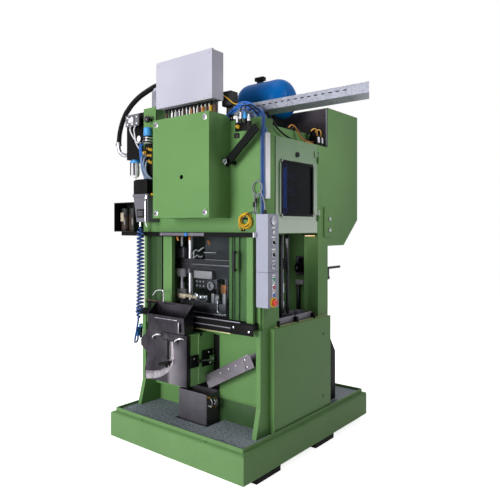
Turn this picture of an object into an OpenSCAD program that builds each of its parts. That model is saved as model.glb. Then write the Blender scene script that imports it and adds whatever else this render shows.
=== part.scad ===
// Mechanical press for compacting parts, on its own oil tray
// Frame: X to the right along the front, Y to the back, Z up, floor at Z = 0, tray centred in plan

/* [Base tray] */
// Height of the pads under the tray
foot_h = 40; // [25:1:70]
// Width of the tray
tray_w = 1250; // [1240:5:1400]
// Depth of the tray
tray_d = 1580; // [1570:5:1800]
// Height of the tray's outer wall
tray_wall = 173; // [160:1:220]
// Width of the sloped ledge on the wall
tray_ledge = 28; // [20:1:30]
// Height of the lip above the ledge
tray_lip = 30; // [20:1:45]
// Sheet thickness of the tray
tray_sheet = 6; // [4:1:8]
// Thickness of the tray's bottom plate
tray_floor = 8; // [6:1:12]
// Thickness of the walk-on floor plate
plate_t = 6; // [4:1:10]
// Depth of the floor plate's top below the lip
plate_drop = 18; // [12:1:20]
// Length of a pad
pad_l = 250; // [150:5:300]
// Width of a pad
pad_w = 120; // [80:5:160]
// Middle of the front pads
pad_front = -530; // [-600:5:-400]
// Middle of the rear pads
pad_rear = 147; // [100:5:400]

/* [Frame] */
// Gap between the tray's left side and the body
margin_left = 45; // [40:1:70]
// Gap between the tray's right side and the body
margin_right = 75; // [75:1:100]
// Front edge of the side plates
body_front = -530; // [-550:5:-520]
// Depth of the body
body_d = 830; // [820:5:880]
// Thickness of a side plate
side_t = 35; // [25:1:45]
// Forward flare of the feet
foot_flare = 45; // [20:1:70]
// Height of the flare above the floor plate
flare_h = 175; // [100:5:250]
// Height of the bed's top above the floor
bed_z = 900; // [880:1:930]
// Thickness of the bed
bed_t = 60; // [40:1:80]
// Setback of the lower front skin behind the leg edges
skin_set = 150; // [140:1:180]
// Thickness of the front and rear skins
skin_t = 15; // [8:1:20]
// Depth of the front cover panel
front_panel_d = 50; // [30:1:70]
// Height of the front cover panel's lower edge
front_panel_z = 360; // [320:5:420]
// Depth of a side cover pan
side_cover_t = 36; // [20:1:37]
// Setback of the side covers from the leg edges
side_cover_set = 96; // [90:1:160]
// Length of a side cover
side_cover_l = 714; // [600:1:720]
// Reach of the left front flange from the body's side
flange_left = 323; // [250:1:340]
// Reach of the right front flange from the body's side
flange_right = 262; // [220:1:300]
// Middle of the tooling to the right of the body's middle
tool_shift = 30; // [0:1:32]
// Width of a front column
column_w = 180; // [140:5:190]
// Depth of a front column
column_d = 170; // [120:5:200]
// Thickness of the front flanges
flange_t = 20; // [12:1:30]
// Width of a rear column
rear_column_w = 120; // [80:5:150]
// Depth of a rear column
rear_column_d = 140; // [100:5:180]
// Sheet thickness of covers and pans
sheet = 3; // [2:0.5:4]

/* [Head] */
// Height of the head's underside
head_z = 1510; // [1490:1:1540]
// Height of the head
head_h = 745; // [735:1:780]
// Setback of the head behind the leg edges
head_set = 10; // [5:1:20]
// Wall thickness of the head
head_wall = 25; // [18:1:35]
// Thickness of the head's bottom plate
head_floor = 60; // [40:1:80]
// Thickness of the head's top plate
head_roof = 20; // [12:1:30]
// Width of the step along the head's right top edge
step_w = 120; // [80:5:140]
// Height of that step
step_h = 100; // [60:5:100]
// Width of the raised lug on the left
lug_w = 136; // [100:1:160]
// Depth of the raised lug
lug_d = 140; // [100:1:180]
// Height of the raised lug
lug_h = 200; // [150:1:220]

/* [Window door] */
// Width of the door
door_w = 513; // [480:1:515]
// Height of the door
door_h = 635; // [600:1:638]
// Hinge edge of the door
door_rear = 138; // [130:1:150]
// Gap under the door
door_gap = 5; // [2:1:12]
// Thickness of the door sheet
door_t = 6; // [4:1:10]
// Width of the window
window_w = 384; // [340:1:390]
// Height of the window
window_h = 356; // [320:1:380]
// Middle of the window along the door
window_y = -123; // [-130:1:-115]
// Height of the window's middle above the head's underside
window_up = 305; // [290:1:320]
// Corner radius of the window
window_r = 30; // [15:1:45]
// Width of the rim round the window
rim_w = 22; // [14:1:28]
// Height of the rim
rim_t = 8; // [4:1:14]
// Thickness of the pane
pane_t = 4; // [3:0.5:5]
// Radius of a hinge knuckle
knuckle_r = 10; // [8:0.5:11]
// Radius of a hinge pin
pin_r = 5; // [3:0.5:6]
// Length of a hinge knuckle
knuckle_l = 40; // [30:1:60]

/* [Front cover and flywheel guard] */
// Middle of the front cover from the main shaft
cover_shift = -17; // [-30:1:0]
// Width of the front cover
cover_w = 529; // [500:1:560]
// Depth of the front cover
cover_d = 208; // [200:1:230]
// Height of the cover's lower edge above the head's underside
cover_up = 106; // [90:1:130]
// Height of the front cover
cover_h = 674; // [650:1:700]
// Radius of the cover's top rear edge
cover_r = 60; // [45:1:80]
// Radius of the hand-turning hole
access_r = 15; // [10:1:25]
// Reach of the flywheel guard to the left of the motor
guard_side = 180; // [100:5:220]
// Depth of the flywheel guard
guard_d = 475; // [465:5:480]
// Depth of the guard's flat bottom
guard_flat = 246; // [200:1:280]
// Guard's bottom below the head's underside
guard_drop = 96; // [70:1:130]
// Height of the guard
guard_h = 1038; // [1020:1:1060]
// Height of the slanted corner of the guard
guard_slant = 200; // [150:5:240]

/* [Drive] */
// Main shaft to the right of the tooling's middle
shaft_shift = 30; // [20:1:35]
// Main shaft above the head's underside
shaft_up = 375; // [365:1:380]
// Radius of the main shaft
shaft_r = 55; // [45:1:60]
// Throw of the crank
throw = 40; // [25:1:42]
// Radius of the crank pin
crank_pin_r = 60; // [50:1:64]
// Width of the connecting rod
rod_w = 90; // [70:1:100]
// Length of the connecting rod
rod_l = 270; // [260:1:285]
// Thickness of a bearing's wall
bush_t = 22; // [12:1:28]
// Radius of the flywheel
flywheel_r = 360; // [320:5:380]
// Width of the flywheel
flywheel_w = 150; // [120:1:170]
// Gap between head and flywheel
flywheel_gap = 150; // [120:5:160]
// Radius of the motor pulley
pulley_r = 70; // [55:1:78]
// Radius of the motor
motor_r = 92; // [75:1:94]
// Length of the motor
motor_l = 230; // [180:5:260]
// Motor axis left of the main shaft
motor_off = 295; // [280:1:300]
// Thickness of the drive belt
belt_t = 9; // [6:0.5:12]

/* [Ram and tooling] */
// Middle of the ram from front to back
ram_y = -190; // [-200:1:-180]
// Width of the ram
ram_w = 320; // [300:1:340]
// Depth of the ram
ram_d = 280; // [240:1:300]
// Stroke of the ram
stroke = 80; // [40:1:80]
// Room for the tool plates beside the columns
tool_gap = 40; // [35:1:60]
// Depth of the tool plates
tool_plate_d = 480; // [440:1:490]
// Thickness of an upper tool plate
tool_plate_t = 38; // [25:1:45]
// Room between bed and head that the tool heights are given for
tool_room = 610; // [600:1:640]
// Height of the upper tool plates' underside above the bed
tool_plate_up = 350; // [340:1:370]
// Radius of a guide pillar
pillar_r = 22; // [16:0.5:26]
// Guide pillars in from the ends of the tool plates, both together
pillar_inset = 250; // [220:1:280]
// Guide pillars apart from front to back
pillar_depth = 400; // [360:1:410]
// Radius of a tie rod
tie_r = 19; // [12:0.5:22]
// Tie rods in from the ends of the tool plates, both together
tie_inset = 60; // [52:1:80]
// Thickness of the die plate
die_plate_t = 45; // [30:1:60]
// Height of the die above its plate
die_h = 70; // [50:1:80]
// Bolts in from the ends of the die plate, both together
bolt_inset = 130; // [110:5:170]
// Bolt spacing from front to back on the die plate
bolt_y = 300; // [260:5:320]
// Radius of the die plate's bolt holes
bolt_r = 9; // [6:0.5:12]

/* [Guard door] */
// Reach of the upper rail beyond the body's left side
rail_over = 198; // [120:1:220]
// Reach of the lower rail beyond the body's left side
sill_over = 20; // [0:1:40]
// Rails in from the body's right side
rail_end = 25; // [15:1:35]
// Depth of a rail
rail_d = 55; // [50:1:70]
// Height of the upper rail
rail_h = 30; // [24:1:40]
// Height of the lower rail
sill_h = 40; // [30:1:50]
// Width of the running groove
groove_w = 24; // [20:1:28]
// Depth of the running groove
groove_d = 12; // [8:1:16]
// Width of the pane
guard_pane_w = 492; // [440:1:500]
// Width of the door's stile
stile_w = 50; // [35:1:60]
// Door in from the rails' right end
stile_gap = 13; // [10:1:20]
// Thickness of the stile
stile_t = 18; // [14:1:18]
// Thickness of the guard's pane
guard_pane_t = 6; // [4:0.5:10]

/* [Pendant] */
// Depth of the pendant's case
pendant_d = 70; // [60:1:90]
// Width of the pendant's case
pendant_w = 112; // [100:1:120]
// Height of the pendant's case
pendant_h = 586; // [580:1:620]
// Height of the pendant's lower edge
pendant_z = 1050; // [1030:1:1060]
// Front face of the pendant
pendant_front = -545; // [-560:1:-535]
// Radius of a push-button
button_r = 12; // [9:0.5:13]
// Travel of a push-button
button_travel = 4; // [3:0.5:5]
// Radius of the emergency stop's head
estop_r = 20; // [16:0.5:24]
// Width of the cable duct
duct_w = 42; // [30:1:50]
// Depth of the cable duct
duct_d = 22; // [18:1:30]
// Top of the cable duct above the head's underside
duct_up = 645; // [600:5:650]

/* [Terminal box and cable tray] */
// Width of the terminal box
term_w = 550; // [500:1:600]
// Height of the terminal box
term_h = 330; // [280:1:360]
// Depth of the terminal box
term_d = 100; // [80:1:120]
// Thickness of its lid
lid_t = 20; // [12:1:30]
// Terminal box in from the body's left side
term_inset = 180; // [160:1:200]
// Gap between head and terminal box
term_gap = 173; // [140:1:200]
// Number of cable glands
gland_count = 14; // [8:1:15]
// Radius of a gland
gland_r = 14; // [8:0.5:15]
// Radius of a cable below its gland
cable_r = 7; // [4:0.5:9]
// Reach of the cable tray over the head
ctray_in = 350; // [300:5:370]
// Reach of the cable tray beyond the head
ctray_out = 670; // [350:5:750]
// Width of the cable tray
ctray_w = 150; // [100:5:200]
// Height of the cable tray's side
ctray_h = 62; // [50:1:80]
// Gap between head and cable tray
ctray_gap = 73; // [60:1:100]
// Sheet thickness of the cable tray
ctray_t = 2; // [1.5:0.5:3]
// Mitre of the cable tray's free end
ctray_mitre = 26; // [0:1:40]
// Distance between the tray's slots
slot_pitch = 50; // [40:1:80]

/* [Air tank] */
// Radius of the air tank
tank_r = 150; // [120:1:160]
// Length of the air tank
tank_l = 470; // [420:5:520]
// Knuckle radius of the tank's ends
tank_round = 112; // [80:1:118]
// Gap under the air tank
tank_gap = 116; // [100:1:150]
// Middle of the tank to the right of the main shaft
tank_shift = 80; // [65:1:95]
// Middle of the tank from front to back
tank_y = 100; // [60:1:130]

/* [Hopper, chute and bin] */
// Hopper's left side from the tooling's middle
hopper_off = 371; // [350:1:390]
// Width of the hopper
hopper_w = 418; // [400:1:420]
// Height of the hopper's lower edge
hopper_z = 490; // [485:1:510]
// Height of the housing
housing_h = 340; // [320:1:345]
// Depth of the housing
housing_d = 230; // [215:1:235]
// Depth of the stainless front
hopper_front_d = 38; // [30:1:50]
// Depth of the dish in the front
dish_depth = 32; // [10:1:34]
// Radius of the dish
dish_r = 178; // [150:1:190]
// Height of the funnel above the housing
funnel_h = 195; // [150:1:240]
// Depth of the funnel
funnel_d = 90; // [80:1:100]
// Width of the chute
chute_w = 85; // [60:1:86]
// Height of the chute's walls
chute_h = 88; // [70:1:95]
// Slope of the chute
chute_slope = 28; // [26:0.5:30]
// Gap between the chute's upper end and the right leg
chute_gap = 26; // [20:1:60]
// Bin in from the hopper's left side
bin_in = 206; // [195:1:215]
// Width of the bin
bin_w = 265; // [240:1:270]
// Depth of the bin
bin_d = 130; // [110:1:140]
// Height of the bin's rim above the floor
bin_rim = 420; // [380:1:424]
// Clear width of the floor hole round the bin
bin_hole = 40; // [20:1:45]

/* [Air and oil units] */
// Width of the valve cabinet
cabinet_w = 290; // [240:5:300]
// Depth of the valve cabinet
cabinet_d = 200; // [160:5:220]
// Height of the valve cabinet
cabinet_h = 360; // [320:5:380]
// Front face of the valve cabinet
cabinet_front = -450; // [-470:1:-440]
// Radius of the filter bowl
bowl_r = 40; // [30:1:45]
// Height of the filter
filter_h = 150; // [120:1:170]
// Filter out from the body's left side
filter_off = 244; // [220:1:250]
// Width of the regulator
regulator_w = 60; // [48:1:70]
// Radius of the regulator's knob
knob_r = 24; // [18:0.5:28]
// Width of the lubrication pump
lube_w = 160; // [130:1:170]
// Depth of the lubrication pump
lube_d = 120; // [110:1:130]
// Height of the pump's tank
lube_h = 210; // [180:1:220]
// Height of the pump's motor
lube_motor_h = 105; // [80:1:130]
// Width of the reservoir box
reservoir_w = 240; // [200:1:250]
// Depth of the reservoir box
reservoir_d = 130; // [110:1:140]
// Height of the reservoir box
reservoir_h = 225; // [180:1:260]

/* [Clearances] */
// Radial clearance of a shaft in its bearing
run_fit = 0.05; // [0.02:0.01:0.1]
// Clearance of a sliding or pushed piece
slide_fit = 0.3; // [0.2:0.05:0.5]
// Clearance round covers and cut-outs
loose_fit = 2; // [1:0.5:4]

/* [Hidden] */
$fn = 48;

paint = "#6f9d62";
black = "#1c1c1e";
steel = "#b8b8bc";
stainless = "#98949a";
grey = "#cfcdd8";
eps = 1;

// Heights and planes that several pieces share
stand_z = foot_h + tray_floor;
ledge_z = foot_h + tray_wall;
lip_z = ledge_z + tray_lip;
floor_z = lip_z - plate_drop;
body_left = margin_left - tray_w / 2;
body_right = tray_w / 2 - margin_right;
tool_x = (body_left + body_right) / 2 + tool_shift;
shaft_x = tool_x + shaft_shift;
body_rear = body_front + body_d;
skin_y = body_front + skin_set;
bed_low = bed_z - bed_t;
head_front = body_front + head_set;
head_top = head_z + head_h;
step_z = head_top - step_h;
lug_top = head_top + lug_h;
cover_left = shaft_x + cover_shift - cover_w / 2;
cover_front = head_front - cover_d;
cover_z = head_z + cover_up;
shaft_z = head_z + shaft_up;
guard_z = head_z - guard_drop;
guard_top = guard_z + guard_h;
guard_rear = body_rear + guard_d;
motor_x = shaft_x - motor_off;
guard_left = motor_x - guard_side;
motor_z = head_top + motor_r + 3;
flywheel_y = body_rear + flywheel_gap;
panel_face = skin_y - front_panel_d;
inner_half_w = tray_w / 2 - tray_ledge - tray_sheet;
inner_half_d = tray_d / 2 - tray_ledge - tray_sheet;

// A block given by its lowest and highest corner
module block(low, high) {
  translate(low) cube(high - low);
}

// Round bars along the three axes
module bar_x(x0, x1, y, z, r) {
  translate([x0, y, z]) rotate([0, 90, 0]) cylinder(h = x1 - x0, r = r);
}
module bar_y(y0, y1, x, z, r) {
  translate([x, y1, z]) rotate([90, 0, 0]) cylinder(h = y1 - y0, r = r);
}
module bar_z(z0, z1, x, y, r) {
  translate([x, y, z0]) cylinder(h = z1 - z0, r = r);
}

// Profiles drawn in the YZ or XZ plane and extruded along the axis across it
module along_x(x0, x1) {
  translate([x0, 0, 0]) rotate([90, 0, 90]) linear_extrude(x1 - x0) children();
}
module along_y(y0, y1) {
  translate([0, y1, 0]) rotate([90, 0, 0]) linear_extrude(y1 - y0) children();
}

// A flat rectangle with round corners, centred
module round_rect(w, h, r) {
  square([w - 2 * r, h], center = true);
  square([w, h - 2 * r], center = true);
  for (sx = [-1, 1], sy = [-1, 1]) {
    translate([sx * (w / 2 - r), sy * (h / 2 - r)]) circle(r);
  }
}

// A folded pan: a block that is hollow from one side
module pan(low, high, wall, open_low, open_high) {
  difference() {
    block(low, high);
    block(low + wall - open_low, high - wall + open_high);
  }
}

// A tube swept along hand-chosen points
function unit(v) = v / norm(v);
function heading(p, i) = unit(p[min(i + 1, len(p) - 1)] - p[max(i - 1, 0)]);
function ring(p, i, r, n, side) =
  let (t = heading(p, i), u = unit(cross(side, t)), v = cross(t, u))
  [for (k = [0 : n - 1]) p[i] + r * (cos(360 * k / n) * u + sin(360 * k / n) * v)];
module tube(p, r, side, n = 8) {
  last = len(p) - 1;
  polyhedron(
    points = [for (i = [0 : last]) each ring(p, i, r, n, side)],
    faces = concat(
      [[for (k = [0 : n - 1]) k]],
      [for (i = [0 : last - 1], k = [0 : n - 1])
        [i * n + k, (i + 1) * n + k, (i + 1) * n + (k + 1) % n, i * n + (k + 1) % n]],
      [[for (k = [n - 1 : -1 : 0]) last * n + k]]
    )
  );
}

// Base tray: folded sheet with a sloped ledge and an upright lip, ribs under the floor plate
ledge_chamfer = 8;
ledge_rise = 6;
rib_t = 10;
rib_x = 300;
function tray_outline(half) = [
  [-half, foot_h], [half, foot_h], [half, ledge_z - ledge_chamfer],
  [half - ledge_chamfer, ledge_z], [half - tray_ledge, ledge_z + ledge_rise],
  [half - tray_ledge, lip_z], [-half + tray_ledge, lip_z],
  [-half + tray_ledge, ledge_z + ledge_rise], [-half + ledge_chamfer, ledge_z],
  [-half, ledge_z - ledge_chamfer]
];
module base_tray() {
  wall_x = tray_w / 2 - tray_sheet;
  wall_y = tray_d / 2 - tray_sheet;
  color(paint) {
    difference() {
      intersection() {
        along_y(-tray_d / 2, tray_d / 2) polygon(tray_outline(tray_w / 2));
        along_x(-tray_w / 2, tray_w / 2) polygon(tray_outline(tray_d / 2));
      }
      block([-wall_x, -wall_y, stand_z], [wall_x, wall_y, ledge_z - ledge_chamfer - tray_sheet]);
      block([-inner_half_w, -inner_half_d, stand_z], [inner_half_w, inner_half_d, lip_z + eps]);
    }
    for (sx = [-1, 1]) {
      block([sx * rib_x - rib_t / 2, -wall_y, stand_z],
            [sx * rib_x + rib_t / 2, body_front - foot_flare - rib_t, floor_z - plate_t]);
      block([sx * rib_x - rib_t / 2, body_rear + rib_t, stand_z],
            [sx * rib_x + rib_t / 2, wall_y, floor_z - plate_t]);
    }
  }
}

// Floor plate: a front and a rear piece, cut out round the feet and the bin
module floor_plate() {
  under = floor_z - plate_t;
  color("#5a6070") {
    difference() {
      block([-inner_half_w, -inner_half_d, under], [inner_half_w, skin_y - loose_fit, floor_z]);
      for (x = [body_left, body_right - side_t]) {
        block([x - loose_fit, body_front - foot_flare - loose_fit, under - eps],
              [x + side_t + loose_fit, skin_y, floor_z + eps]);
      }
      block([bin_left - loose_fit, bin_front - bin_hole, under - eps],
            [bin_left + bin_w + bin_hole, bin_front + bin_d + loose_fit, floor_z + eps]);
    }
    block([-inner_half_w, body_rear + loose_fit, under], [inner_half_w, inner_half_d, floor_z]);
  }
}

// Floor pads: four black blocks near the tray's long sides
pad_inset = 8;
module floor_pads() {
  color(black)
    for (sx = [-1, 1], y = [pad_front, pad_rear])
      translate([sx * (tray_w / 2 - pad_inset - pad_w / 2), y, foot_h / 2])
        cube([pad_w, pad_l, foot_h], center = true);
}

// Lower frame: flared side plates, front and rear skins and the bed, with a hook for the blow gun
hook_r = 5;
hook_y = -500;
hook_z = 800;
hook_l = 75;
function side_outline() = [
  [body_front - foot_flare, stand_z], [body_front - foot_flare, floor_z],
  [body_front, floor_z + flare_h], [body_front, bed_z], [body_rear, bed_z], [body_rear, stand_z]
];
module lower_frame() {
  in_left = body_left + side_t;
  in_right = body_right - side_t;
  color(paint) {
    for (x = [body_left, in_right]) along_x(x, x + side_t) polygon(side_outline());
    block([in_left, skin_y, stand_z], [in_right, skin_y + skin_t, bed_low]);
    block([in_left, body_rear - skin_t, stand_z], [in_right, body_rear, bed_low]);
    block([in_left, head_front, bed_low], [in_right, body_rear, bed_z]);
    bar_x(body_left - hook_l, body_left, hook_y, hook_z, hook_r);
  }
}

// Lower panels: front cover panel, two side covers and the duct behind the right leg
duct_back = [[0, 0], [175, 0], [175, 365], [75, 515], [0, 515]];
duct_box_w = 140;
module lower_panels() {
  side_front = body_front + side_cover_set;
  low_z = floor_z + 2 * loose_fit;
  wall = [sheet, sheet, sheet];
  color(paint) {
    pan([body_left + side_t + loose_fit, panel_face, front_panel_z],
        [body_right - side_t - loose_fit, skin_y, bed_low - loose_fit], wall, [0, 0, 0], [0, sheet + eps, 0]);
    pan([body_right, side_front, low_z],
        [body_right + side_cover_t, side_front + side_cover_l, bed_z], wall, [sheet + eps, 0, 0], [0, 0, 0]);
    pan([body_left - side_cover_t, side_front, lip_z + loose_fit],
        [body_left, side_front + side_cover_l, bed_z], wall, [0, 0, 0], [sheet + eps, 0, 0]);
  }
  color("#2a282c")
    translate([0, body_rear, floor_z])
      along_x(body_right - duct_box_w - side_t, body_right - side_t) polygon(duct_back);
}

// Cover screws: slotted heads on the front cover, the side covers and the guard bracket
screw_r = 14;
screw_h = 6;
screw_inset = 34;
module screw_head(r, h) {
  difference() {
    cylinder(h = h, r = r);
    translate([-r, -r / 8, h / 2]) cube([2 * r, r / 4, h]);
  }
}
module cover_screws() {
  side_front = body_front + side_cover_set;
  small_r = screw_r * 0.6;
  color(steel) {
    for (x = [cover_left + screw_inset, cover_left + cover_w - screw_inset],
         z = [cover_z + screw_inset, cover_z + cover_h - screw_inset])
      translate([x, cover_front, z]) rotate([90, 0, 0]) screw_head(screw_r, screw_h);
    for (y = [side_front + screw_inset / 2, side_front + side_cover_l - 3 * screw_inset],
         z = [floor_z + 3 * screw_inset, bed_z - 3.65 * screw_inset]) {
      translate([body_right + side_cover_t, y, z]) rotate([0, 90, 0]) screw_head(small_r, screw_h);
      translate([body_left - side_cover_t, y, z]) rotate([0, -90, 0]) screw_head(small_r, screw_h);
    }
    for (z = bracket_bolts)
      translate([body_right + bracket_t, bracket_y, z]) rotate([0, 90, 0]) screw_head(screw_r, 2 * screw_h);
  }
}

// Columns: two front columns with wide flanges, two rear columns, the wall between them and the left cover
flange_inset = 10;
module columns() {
  back_of_flange = head_front + flange_t;
  color(paint) {
    block([body_left, back_of_flange, bed_z], [body_left + column_w, back_of_flange + column_d, head_z]);
    block([body_left + flange_inset, head_front, bed_z], [body_left + flange_left, back_of_flange, head_z]);
    block([body_right - column_w, back_of_flange, bed_z], [body_right, back_of_flange + column_d, head_z]);
    block([body_right - flange_right, head_front, bed_z],
          [body_right - flange_inset, back_of_flange, head_z]);
    for (x = [body_left, body_right - rear_column_w])
      block([x, body_rear - rear_column_d, bed_z], [x + rear_column_w, body_rear, head_z]);
    block([body_left, back_of_flange + column_d, bed_z],
          [body_left + sheet, body_rear - rear_column_d, head_z]);
    block([body_left + rear_column_w, body_rear - skin_t, bed_z],
          [body_right - rear_column_w, body_rear, head_z]);
  }
}

// Head: a hollow box with bearing bores, the ram's guide opening and the window opening
bush_r = shaft_r + bush_t;
hinge_off = knuckle_r + loose_fit;
hinge_x = body_right + hinge_off;
hinge_y = door_rear + hinge_off;
hinge_z = [head_z + door_gap + 85, head_z + door_h - 125];
window_edge = 45;
module head_frame() {
  color(paint) {
    difference() {
      union() {
        block([body_left, head_front, head_z], [body_right, body_rear, head_top]);
        block([body_left, head_front, head_top], [body_left + lug_w, head_front + lug_d, lug_top]);
      }
      block([body_left + head_wall, head_front + head_wall, head_z + head_floor],
            [body_right - head_wall, body_rear - head_wall, step_z - head_roof]);
      block([body_left + head_wall, head_front + head_wall, head_z + head_floor],
            [body_right - step_w - head_wall, body_rear - head_wall, head_top - head_roof]);
      block([body_right - step_w, head_front + step_w, step_z],
            [body_right + eps, body_rear + eps, head_top + eps]);
      block([body_right - head_wall - eps, door_front + window_edge, head_z + head_floor + window_edge],
            [body_right + eps, door_rear - window_edge, step_z - window_edge]);
      block([shaft_x - ram_w / 2 - slide_fit, ram_y - ram_d / 2 - slide_fit, head_z - eps],
            [shaft_x + ram_w / 2 + slide_fit, ram_y + ram_d / 2 + slide_fit, head_z + head_floor + eps]);
      bar_y(head_front - eps, body_rear + eps, shaft_x, shaft_z, bush_r);
    }
    for (z = hinge_z) {
      block([body_right, hinge_y - knuckle_r / 2, z], [hinge_x, hinge_y + knuckle_r, z + knuckle_l]);
      bar_z(z, z + knuckle_l, hinge_x, hinge_y, knuckle_r);
      bar_z(z, z + 2 * knuckle_l, hinge_x, hinge_y, pin_r);
    }
  }
}

// Window door: a sheet with a rimmed window, hung on two lift-off hinges at its rear edge
door_front = door_rear - door_w;
door_low = head_z + door_gap;
door_in = body_right + slide_fit;
door_out = door_in + door_t;
window_z = head_z + window_up;
lock_r = 10;
lock_z = window_z + window_h / 2 + rim_w + 38;
module window_shape(grow) {
  translate([window_y, window_z]) round_rect(window_w + 2 * grow, window_h + 2 * grow, window_r + grow);
}
module window_door() {
  color(paint) {
    difference() {
      union() {
        block([door_in, door_front, door_low], [door_out, door_rear, door_low + door_h]);
        along_x(door_out, door_out + rim_t) window_shape(rim_w);
        for (z = hinge_z) {
          low = z + knuckle_l + slide_fit;
          block([door_in + loose_fit, door_rear - knuckle_l, low],
                [hinge_x, hinge_y, low + knuckle_l - slide_fit]);
          bar_z(low, low + knuckle_l - slide_fit, hinge_x, hinge_y, knuckle_r);
        }
      }
      along_x(door_in - eps, door_out + rim_t + eps) window_shape(0);
      bar_x(door_in - eps, door_out + eps, window_y, lock_z, lock_r + run_fit);
      for (z = hinge_z) bar_z(z, z + 3 * knuckle_l, hinge_x, hinge_y, pin_r + run_fit);
    }
  }
}

// Window pane: dark glass held in the door's cut-out
module window_pane() {
  color("#20242c") along_x(door_in + eps, door_in + eps + pane_t) window_shape(0);
}

// Door lock: a quarter-turn lock with a finger slot and a short tongue behind the door
lock_head = 18;
lock_head_t = 9;
tongue_l = 40;
module door_lock() {
  color(black) {
    difference() {
      union() {
        bar_x(door_in - 14, door_out + slide_fit + lock_head_t, window_y, lock_z, lock_r);
        bar_x(door_out + slide_fit, door_out + slide_fit + lock_head_t, window_y, lock_z, lock_head);
        block([door_in - 14, window_y - 8, lock_z - 8], [door_in - 8, window_y + 8, lock_z + tongue_l]);
      }
      block([door_out + slide_fit + lock_head_t / 2, window_y - 4, lock_z - lock_head + 3],
            [door_out + lock_head_t + eps, window_y + 4, lock_z + lock_head - 3]);
    }
  }
}

// Front cover: a deep pan over the shaft's front end, round along its top rear edge
module cover_profile(inset) {
  top = cover_z + cover_h;
  translate([cover_front + inset, cover_z + inset])
    square([cover_d - cover_r - inset, cover_h - 2 * inset]);
  translate([cover_front + inset, cover_z + inset])
    square([cover_d - inset, cover_h - cover_r - inset]);
  translate([head_front - cover_r, top - cover_r]) circle(cover_r - inset);
}
module front_cover() {
  color(paint)
    difference() {
      along_x(cover_left, cover_left + cover_w) cover_profile(0);
      along_x(cover_left + sheet, cover_left + cover_w - sheet) cover_profile(sheet);
      block([cover_left + sheet, head_front - cover_r, cover_z + sheet],
            [cover_left + cover_w - sheet, head_front + eps, head_top - 2 * sheet]);
      bar_y(cover_front - eps, cover_front + 2 * sheet, shaft_x, shaft_z, access_r);
    }
}

// Flywheel guard: a closed sheet housing with one slanted corner, bolted to the head by a bracket
bracket_t = 9;
bracket_y = body_rear + 3;
bracket_w = 125;
bracket_h = 220;
bracket_z = head_z - 28;
bracket_bolts = [bracket_z + 51, bracket_z + 134];
module guard_profile(inset) {
  bend = inset * tan(22.5);
  polygon([
    [body_rear + inset, guard_z + inset], [body_rear + guard_flat - bend, guard_z + inset],
    [guard_rear - inset, guard_z + guard_slant + bend], [guard_rear - inset, guard_top - inset],
    [body_rear + inset, guard_top - inset]
  ]);
}
module flywheel_guard() {
  color(paint) {
    difference() {
      along_x(guard_left, body_right) guard_profile(0);
      along_x(guard_left + sheet, body_right - sheet) guard_profile(sheet);
      bar_y(body_rear - eps, body_rear + sheet + eps, shaft_x, shaft_z, bush_r);
      bar_y(body_rear - eps, body_rear + sheet + eps, motor_x, motor_z, pulley_r / 2);
    }
    block([body_right, body_rear - bracket_w / 2, bracket_z],
          [body_right + bracket_t, body_rear + bracket_w / 2, bracket_z + bracket_h]);
    block([body_right - sheet, body_rear + sheet, bracket_z],
          [body_right + bracket_t, body_rear + bracket_w / 2, bracket_z + bracket_h]);
  }
}

// Terminal box: a sheet box open to the front, on an upright that stands on the head's lug
term_left = body_left + term_inset;
term_z = head_top + term_gap;
term_front = head_front - 10;
term_rear = term_front + term_d;
upright_t = 8;
module terminal_box() {
  wall = [sheet, sheet, sheet];
  color(grey) {
    pan([term_left, term_front, term_z], [term_left + term_w, term_rear, term_z + term_h],
        wall, [0, sheet + eps, 0], [0, 0, 0]);
    block([body_left + upright_t, term_rear, lug_top],
          [term_left + term_w / 3, term_rear + upright_t, term_z + term_h * 0.7]);
    block([term_left + term_w * 0.8, term_rear, head_top],
          [term_left + term_w * 0.9, term_rear + upright_t, term_z + term_h * 0.7]);
  }
}

// Terminal lid: a shallow pan with four corner screws
lid_over = 4;
module terminal_lid() {
  color(grey) {
    block([term_left - lid_over, term_front - lid_t, term_z - lid_over],
          [term_left + term_w + lid_over, term_front, term_z + term_h + lid_over]);
    for (x = [term_left + 25, term_left + term_w - 25], z = [term_z + 25, term_z + term_h - 25])
      translate([x, term_front - lid_t, z]) rotate([90, 0, 0]) screw_head(7, 3);
  }
}

// Gland cables: a row of glands under the terminal box with their cables down to the head
gland_h = 28;
nut_r = gland_r + 2;
module gland_cables() {
  pitch = (term_w - 4 * nut_r) / (gland_count - 1);
  color(black)
    for (i = [0 : gland_count - 1])
      translate([term_left + 2 * nut_r + i * pitch, term_front + term_d / 2, 0]) {
        translate([0, 0, term_z - gland_h / 3]) cylinder(h = gland_h / 3, r = nut_r, $fn = 6);
        translate([0, 0, term_z - gland_h]) cylinder(h = gland_h, r = gland_r * 0.8);
        translate([0, 0, head_top]) cylinder(h = term_gap - gland_h / 2, r = cable_r);
      }
}

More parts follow.
